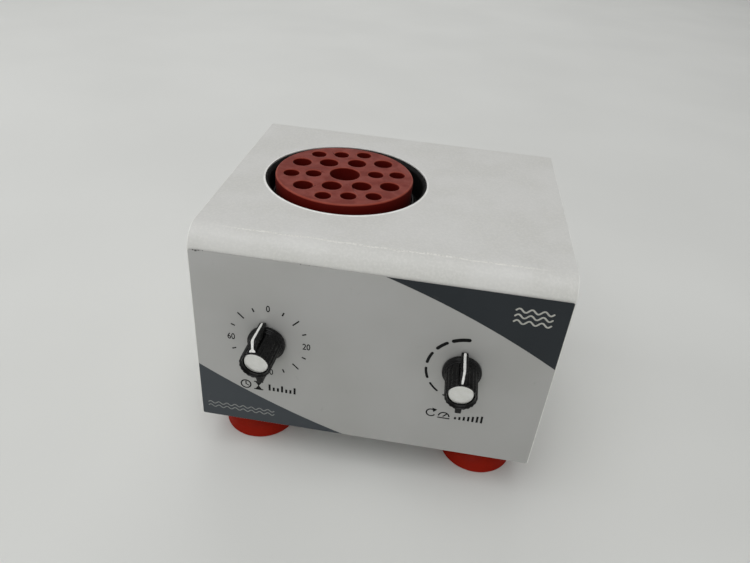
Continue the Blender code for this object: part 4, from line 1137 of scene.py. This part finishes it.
def add_fin(bm):
    """The two ends of the bar across the knob. The tail is drawn in a little towards its end."""
    for outline in (pointer_outline(), tail_outline()):
        fin = add_folded(bmesh.new(), outline, -FIN_WIDTH / 2, FIN_WIDTH / 2)
        soften(fin, end_edges(fin), 0.4, 3)
        for vert in fin.verts:
            beyond = max(-vert.co.y / MM - GRIP_RADIUS, 0) / (FIN_REACH - GRIP_RADIUS)
            vert.co.x *= 1 - 0.12 * beyond
        mesh = mesh_of(fin, "fin")
        bm.from_mesh(mesh)
        bpy.data.meshes.remove(mesh)


def line_path():
    """The (y, height) points of the pointer that carry the painted line, from its foot up."""
    corner = pointer_outline()[2 * (FIN_STEPS + 1) : 3 * (FIN_STEPS + 1)]
    side = [(FIN_REACH, SKIRT_LIFT + rise) for rise in (0.9, 2, 4, 6, 8, 10, 12, 14)]
    start = corner[-1][0]
    end = GRIP_RADIUS - 0.15
    slope = []
    for share in (0.2, 0.4, 0.6, 0.7, 0.8, 0.87, 0.93, 1):
        reach = start + (end - start) * share
        slope.append((reach, slope_height(reach)))
    return side + corner + slope


def add_line(bm, shape):
    """The painted line over the bar's edge. Its shape gives (share of the way, sideways, width)."""
    path = [Vector(point) for point in line_path()]
    lengths = [0]
    for first, second in zip(path, path[1:]):
        lengths.append(lengths[-1] + (second - first).length)
    rows = []
    for index, point in enumerate(path):
        before = path[max(index - 1, 0)]
        after = path[min(index + 1, len(path) - 1)]
        along = (after - before).normalized()
        out = Vector((0, along.y, -along.x)) * PAINT_THICKNESS
        sideways, width = shape_at(shape, lengths[index] / lengths[-1])
        centre = Vector((sideways, point.x, point.y))
        half = Vector((width / 2, 0, 0))
        inner = centre - out
        outer = centre + out
        corners = (inner - half, outer - half * 0.95, outer + half * 0.95, inner + half)
        rows.append([bm.verts.new(corner * MM) for corner in corners])
    join_rows(bm, rows, closed=False)
    bm.faces.new(rows[0][::-1])
    bm.faces.new(rows[-1])
    return bm


def shape_at(shape, share):
    """The sideways shift and the width of the painted line at a share of its way."""
    for (start, *low), (end, *high) in zip(shape, shape[1:]):
        if share <= end:
            part = (share - start) / (end - start)
            return [a + (b - a) * part for a, b in zip(low, high)]
    return shape[-1][1:]


def knob(name, place, pointer, lean, line_shape):
    """A pointer knob: stepped skirt, fluted grip, a bar with a painted line, and a metal cap."""
    turn = Matrix.Rotation(lean, 4, "Z") @ Euler((math.pi / 2, -pointer, 0)).to_matrix().to_4x4()
    stand = Matrix.Translation(metres(*place)) @ turn
    skirt = [(7.8, SKIRT_LIFT), (SKIRT_RADIUS, SKIRT_LIFT), (SKIRT_RADIUS, 2.9)]
    skirt += [(SKIRT_RADIUS - 0.5, 3.2), (9.9, 3.2), (9.7, 3.35), (9.5, 4.5), (9.1, 4.7), (7.8, 4.7)]
    bm = add_turned(bmesh.new(), softened(skirt, 0.25, 3, closed=True), 128)
    add_grip(bm)
    add_fin(bm)
    body = piece(f"{name}_grip", moved(bm, stand), "black_plastic", name)
    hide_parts(f"{name}_knob")

    bm = moved(add_line(bmesh.new(), line_shape), stand)
    piece(f"{name}_pointer_line", bm, "white_paint", name)

    top = KNOB_HEIGHT - CAP_RECESS
    low = top - CAP_THICKNESS
    face = [(0, low), (CAP_RADIUS, low), (CAP_RADIUS, top - 0.35), (CAP_RADIUS - 0.12, top - 0.1)]
    face += [(CAP_RADIUS - 0.4, top), (CAP_RADIUS - 0.7, top - 0.03), (0, top - 0.1)]
    bm = moved(add_turned(bmesh.new(), face, 128), stand)
    PAINT[f"{name}_spun"] = spun_metal(stand @ metres(0, 0, top) / MM)
    cap = piece(f"{name}_cap", bm, f"{name}_spun", name, smooth=math.radians(20))
    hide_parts(f"{name}_knob_cap")


# The painted lines, as (share of the way, sideways, width)
TIMER_LINE = (
    (0, -0.2, 1.0),
    (0.06, -0.2, 1.25),
    (0.4, -0.25, 1.35),
    (0.68, -0.3, 1.5),
    (0.74, -0.25, 1.6),
    (0.88, 0.05, 1.3),
    (0.93, 0.1, 1.6),
    (0.96, 0.1, 3.3),
    (1, 0.1, 3.4),
)
SPEED_LINE = (
    (0, 0.05, 1.1),
    (0.06, 0.05, 1.4),
    (0.3, 0.0, 1.35),
    (0.5, 0.05, 1.5),
    (0.68, 0.05, 1.35),
    (0.8, -0.1, 1.15),
    (0.93, -0.3, 1.3),
    (1, -0.35, 0.9),
)


# ---- feet and screws


def suction_feet():
    """Soft suction cups: a domed cup with a thin lip and a neck."""
    for number in range(1, 5):
        node = f"suction_foot_{number}"
        _, high, centre, radius = round_box(node)
        neck = 8.5
        profile = [(0, 8.0), (9.0, 7.2), (15.5, 5.0), (radius - 1.6, 0.15), (radius - 1.0, 0)]
        profile += [(radius - 0.3, 0), (radius, 0.35), (radius, 1.0), (radius - 0.4, 1.5)]
        for angle in range(18, 91, 6):
            turn = math.radians(angle)
            reach = neck + (radius - neck) * math.cos(turn) ** 1.6
            profile.append((reach, 1.2 + 15.5 * math.sin(turn) ** 1.1))
        profile += [(neck, 19), (neck + 0.6, 20), (neck + 1.5, 21), (neck + 1.5, high.z)]
        profile += [(2.8, high.z), (2.8, high.z - 10.3), (0, high.z - 10.3)]
        bm = add_turned(bmesh.new(), profile, 96, (centre.x, centre.y))
        foot = piece(f"foot_cup_{number}", bm, "red_rubber", "base")
        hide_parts(node)


def cover_screws():
    """Pan-head screws with a cross recess, in the housing's sides."""
    for number in range(1, 5):
        node = f"cover_screw_{number}"
        centre = middle(node)
        side = math.copysign(1, centre.x)
        seat = (CASE_HIGH.x + 0.3) * side
        turn = Matrix.Rotation(side * math.pi / 2, 4, "Y")
        profile = [(0, -6), (1.2, -6), (1.5, -5.4), (1.5, 0), (2.8, 0), (2.8, 0.5)]
        profile += [(2.8 * math.cos(a), 0.5 + 1.4 * math.sin(a)) for a in (0.2, 0.5, 0.8, 1.1, 1.35)]
        profile.append((0, 1.9))
        stand = Matrix.Translation(metres(seat, centre.y, centre.z)) @ turn
        bm = moved(add_turned(bmesh.new(), profile, 48), stand)
        screw = piece(f"case_screw_{number}", bm, "screw_steel", "base")
        for quarter in range(2):
            spin = stand @ Matrix.Rotation(0.9 * number + quarter * math.pi / 2, 4, "Z")
            cut(screw, add_block(bmesh.new(), (0, 0, 1.6), (2.9, 0.6, 1.4), matrix=spin))
        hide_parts(node)


# ---- rear fittings


def inlet_pins():
    """Metal sleeves over the inlet's three pins."""
    inlet = middle("power_inlet")
    rear = box("power_inlet")[1].y
    pins = bmesh.new()
    for x, z in ((-7, 4), (7, 4), (0, 8)):
        add_block(pins, (inlet.x + x, rear - 9.4, inlet.z + z), (2.3, 10.4, 4.3), 0.4, 2)
    piece("inlet_pins", pins, "pin_metal", "base")


def drawer_pull():
    """The ridge that the fuse drawer is pulled by."""
    low, high = box("fuse_drawer")
    centre = (low + high) / 2
    ridge = add_block(bmesh.new(), (centre.x, high.y, centre.z - 2.4), (12, 1.6, 1.4), 0.5)
    piece("drawer_pull", ridge, "black_plastic", "drawer")


def rocker_marks():
    """The plain bar and ring on the two halves of the rocker, which is pressed at its ring."""
    stand = Matrix.Translation(metres(*joint_place("switch_rock")))
    stand = stand @ Matrix.Rotation(ROCKER_TILT - math.pi / 2, 4, "X")
    bm = bmesh.new()
    bar = [(-0.35, 2.6), (0.35, 2.6), (0.35, 5.2), (-0.35, 5.2)]
    for outline in (bar, *ring((0, -3.9), 1.2, 0.55)):
        corners = [(x, y, ROCKER_VALLEY + ROCKER_SLOPE * abs(y) + 0.03) for x, y in outline]
        add_extruded(bm, corners, (0, 0, -0.08))
    marks = piece("rocker_marks", moved(bm, stand), "white_paint", "rocker")
    marks.data.shade_flat()


def finish_cad_nodes():
    """Each CAD node that still shows gets its slot's finish, and those in ROUNDED_NODES slightly rounded edges."""
    slots = {part["node"]: part["material_slot"] for part in RECORD["subparts"]}
    for name, obj in frame["nodes"].items():
        if obj.hide_render:
            continue
        obj.data.materials.clear()
        obj.data.materials.append(PAINT[slots[name]])
        obj.data.polygons.foreach_set("material_index", [0] * len(obj.data.polygons))
        if name in ROUNDED_NODES:
            round_edges(obj, ROUNDED_NODES[name])


# ---- studio


def floor():
    bm = bmesh.new()
    bmesh.ops.create_grid(bm, x_segments=8, y_segments=8, size=6)
    mesh = mesh_of(bm, "studio_floor")
    obj = placed("studio_floor", mesh)
    obj.location = metres(0, 0, -0.05)
    material, tree, shader, place = new_material("studio_floor")
    tint = patches(tree, place, 260, 0.3, 0.7, detail=2)
    paper = blended(tree, tint, srgb(221, 222, 217), srgb(225, 226, 221))
    tree.links.new(paper, shader.inputs["Base Color"])
    tree.links.new(bump(tree, noise(tree, place, 0.9, detail=2), 0.01), shader.inputs["Normal"])
    shader.inputs["Roughness"].default_value = 0.7
    mesh.materials.append(material)


def area_light(name, place, target, size, power, spread=180):
    data = bpy.data.lights.new(name, "AREA")
    data.shape = "DISK"
    data.size = size
    data.energy = power
    data.spread = math.radians(spread)
    data.color = LIGHT_COLOUR
    light = placed(name, data)
    light.location = Vector(place)
    light.rotation_euler = (Vector(target) - Vector(place)).to_track_quat("-Z", "Y").to_euler()


def studio():
    """A pale floor, an even sky, and soft lights from above, from the left, in front and behind."""
    floor()
    world = bpy.data.worlds.new("studio")
    world.use_nodes = True
    tree = world.node_tree
    background = tree.nodes["Background"]
    direction = add_node(tree, "ShaderNodeTexCoord").outputs["Generated"]
    height = add_node(tree, "ShaderNodeSeparateXYZ", {0: direction}).outputs["Z"]
    strength = spread(tree, height, -0.1, 0.9, 0.56, 0.2)
    tree.links.new(strength, background.inputs["Strength"])
    background.inputs["Color"].default_value = (*SKY_COLOUR, 1)
    bpy.context.scene.world = world
    area_light("overhead", (-0.25, -1.15, 2.8), (0, 0, 0.05), 3.4, 49)
    area_light("left", (-1.6, 0.1, 0.9), (0, 0, 0.05), 0.9, 4)
    area_light("front", (-0.35, -2.4, 0.9), (0, 0, 0.02), 0.9, 3.8)
    area_light("backdrop", (-0.4, 2.3, 2.6), (-0.4, 2.3, 0), 2.4, 13, spread=120)
    settings = bpy.context.scene.view_settings
    settings.view_transform = "Standard"
    settings.look = "None"


def camera():
    """The photo's point of view."""
    data = bpy.data.cameras.new("camera")
    data.sensor_width = 36
    data.lens = LENS
    data.clip_start = 0.01
    view = placed("camera", data)
    view.location = metres(*CAMERA_PLACE) + metres(0, LABEL_FACE, 0)
    view.rotation_euler = [math.radians(angle) for angle in CAMERA_ANGLES]
    bpy.context.scene.camera = view


# ---- the whole object

case_cover()
opening_lip()
panel_film()
dark_areas()
timer_dial()
speed_dial()
captions()
corner_signs()
edge_chips()
tube_rack()
boot()
tray()
knob("timer", joint_place("timer_turn"), TIMER_POINTER, TIMER_LEAN, TIMER_LINE)
knob("speed", joint_place("speed_turn"), SPEED_POINTER, 0, SPEED_LINE)
suction_feet()
cover_screws()
inlet_pins()
drawer_pull()
rocker_marks()
finish_cad_nodes()
studio()
camera()
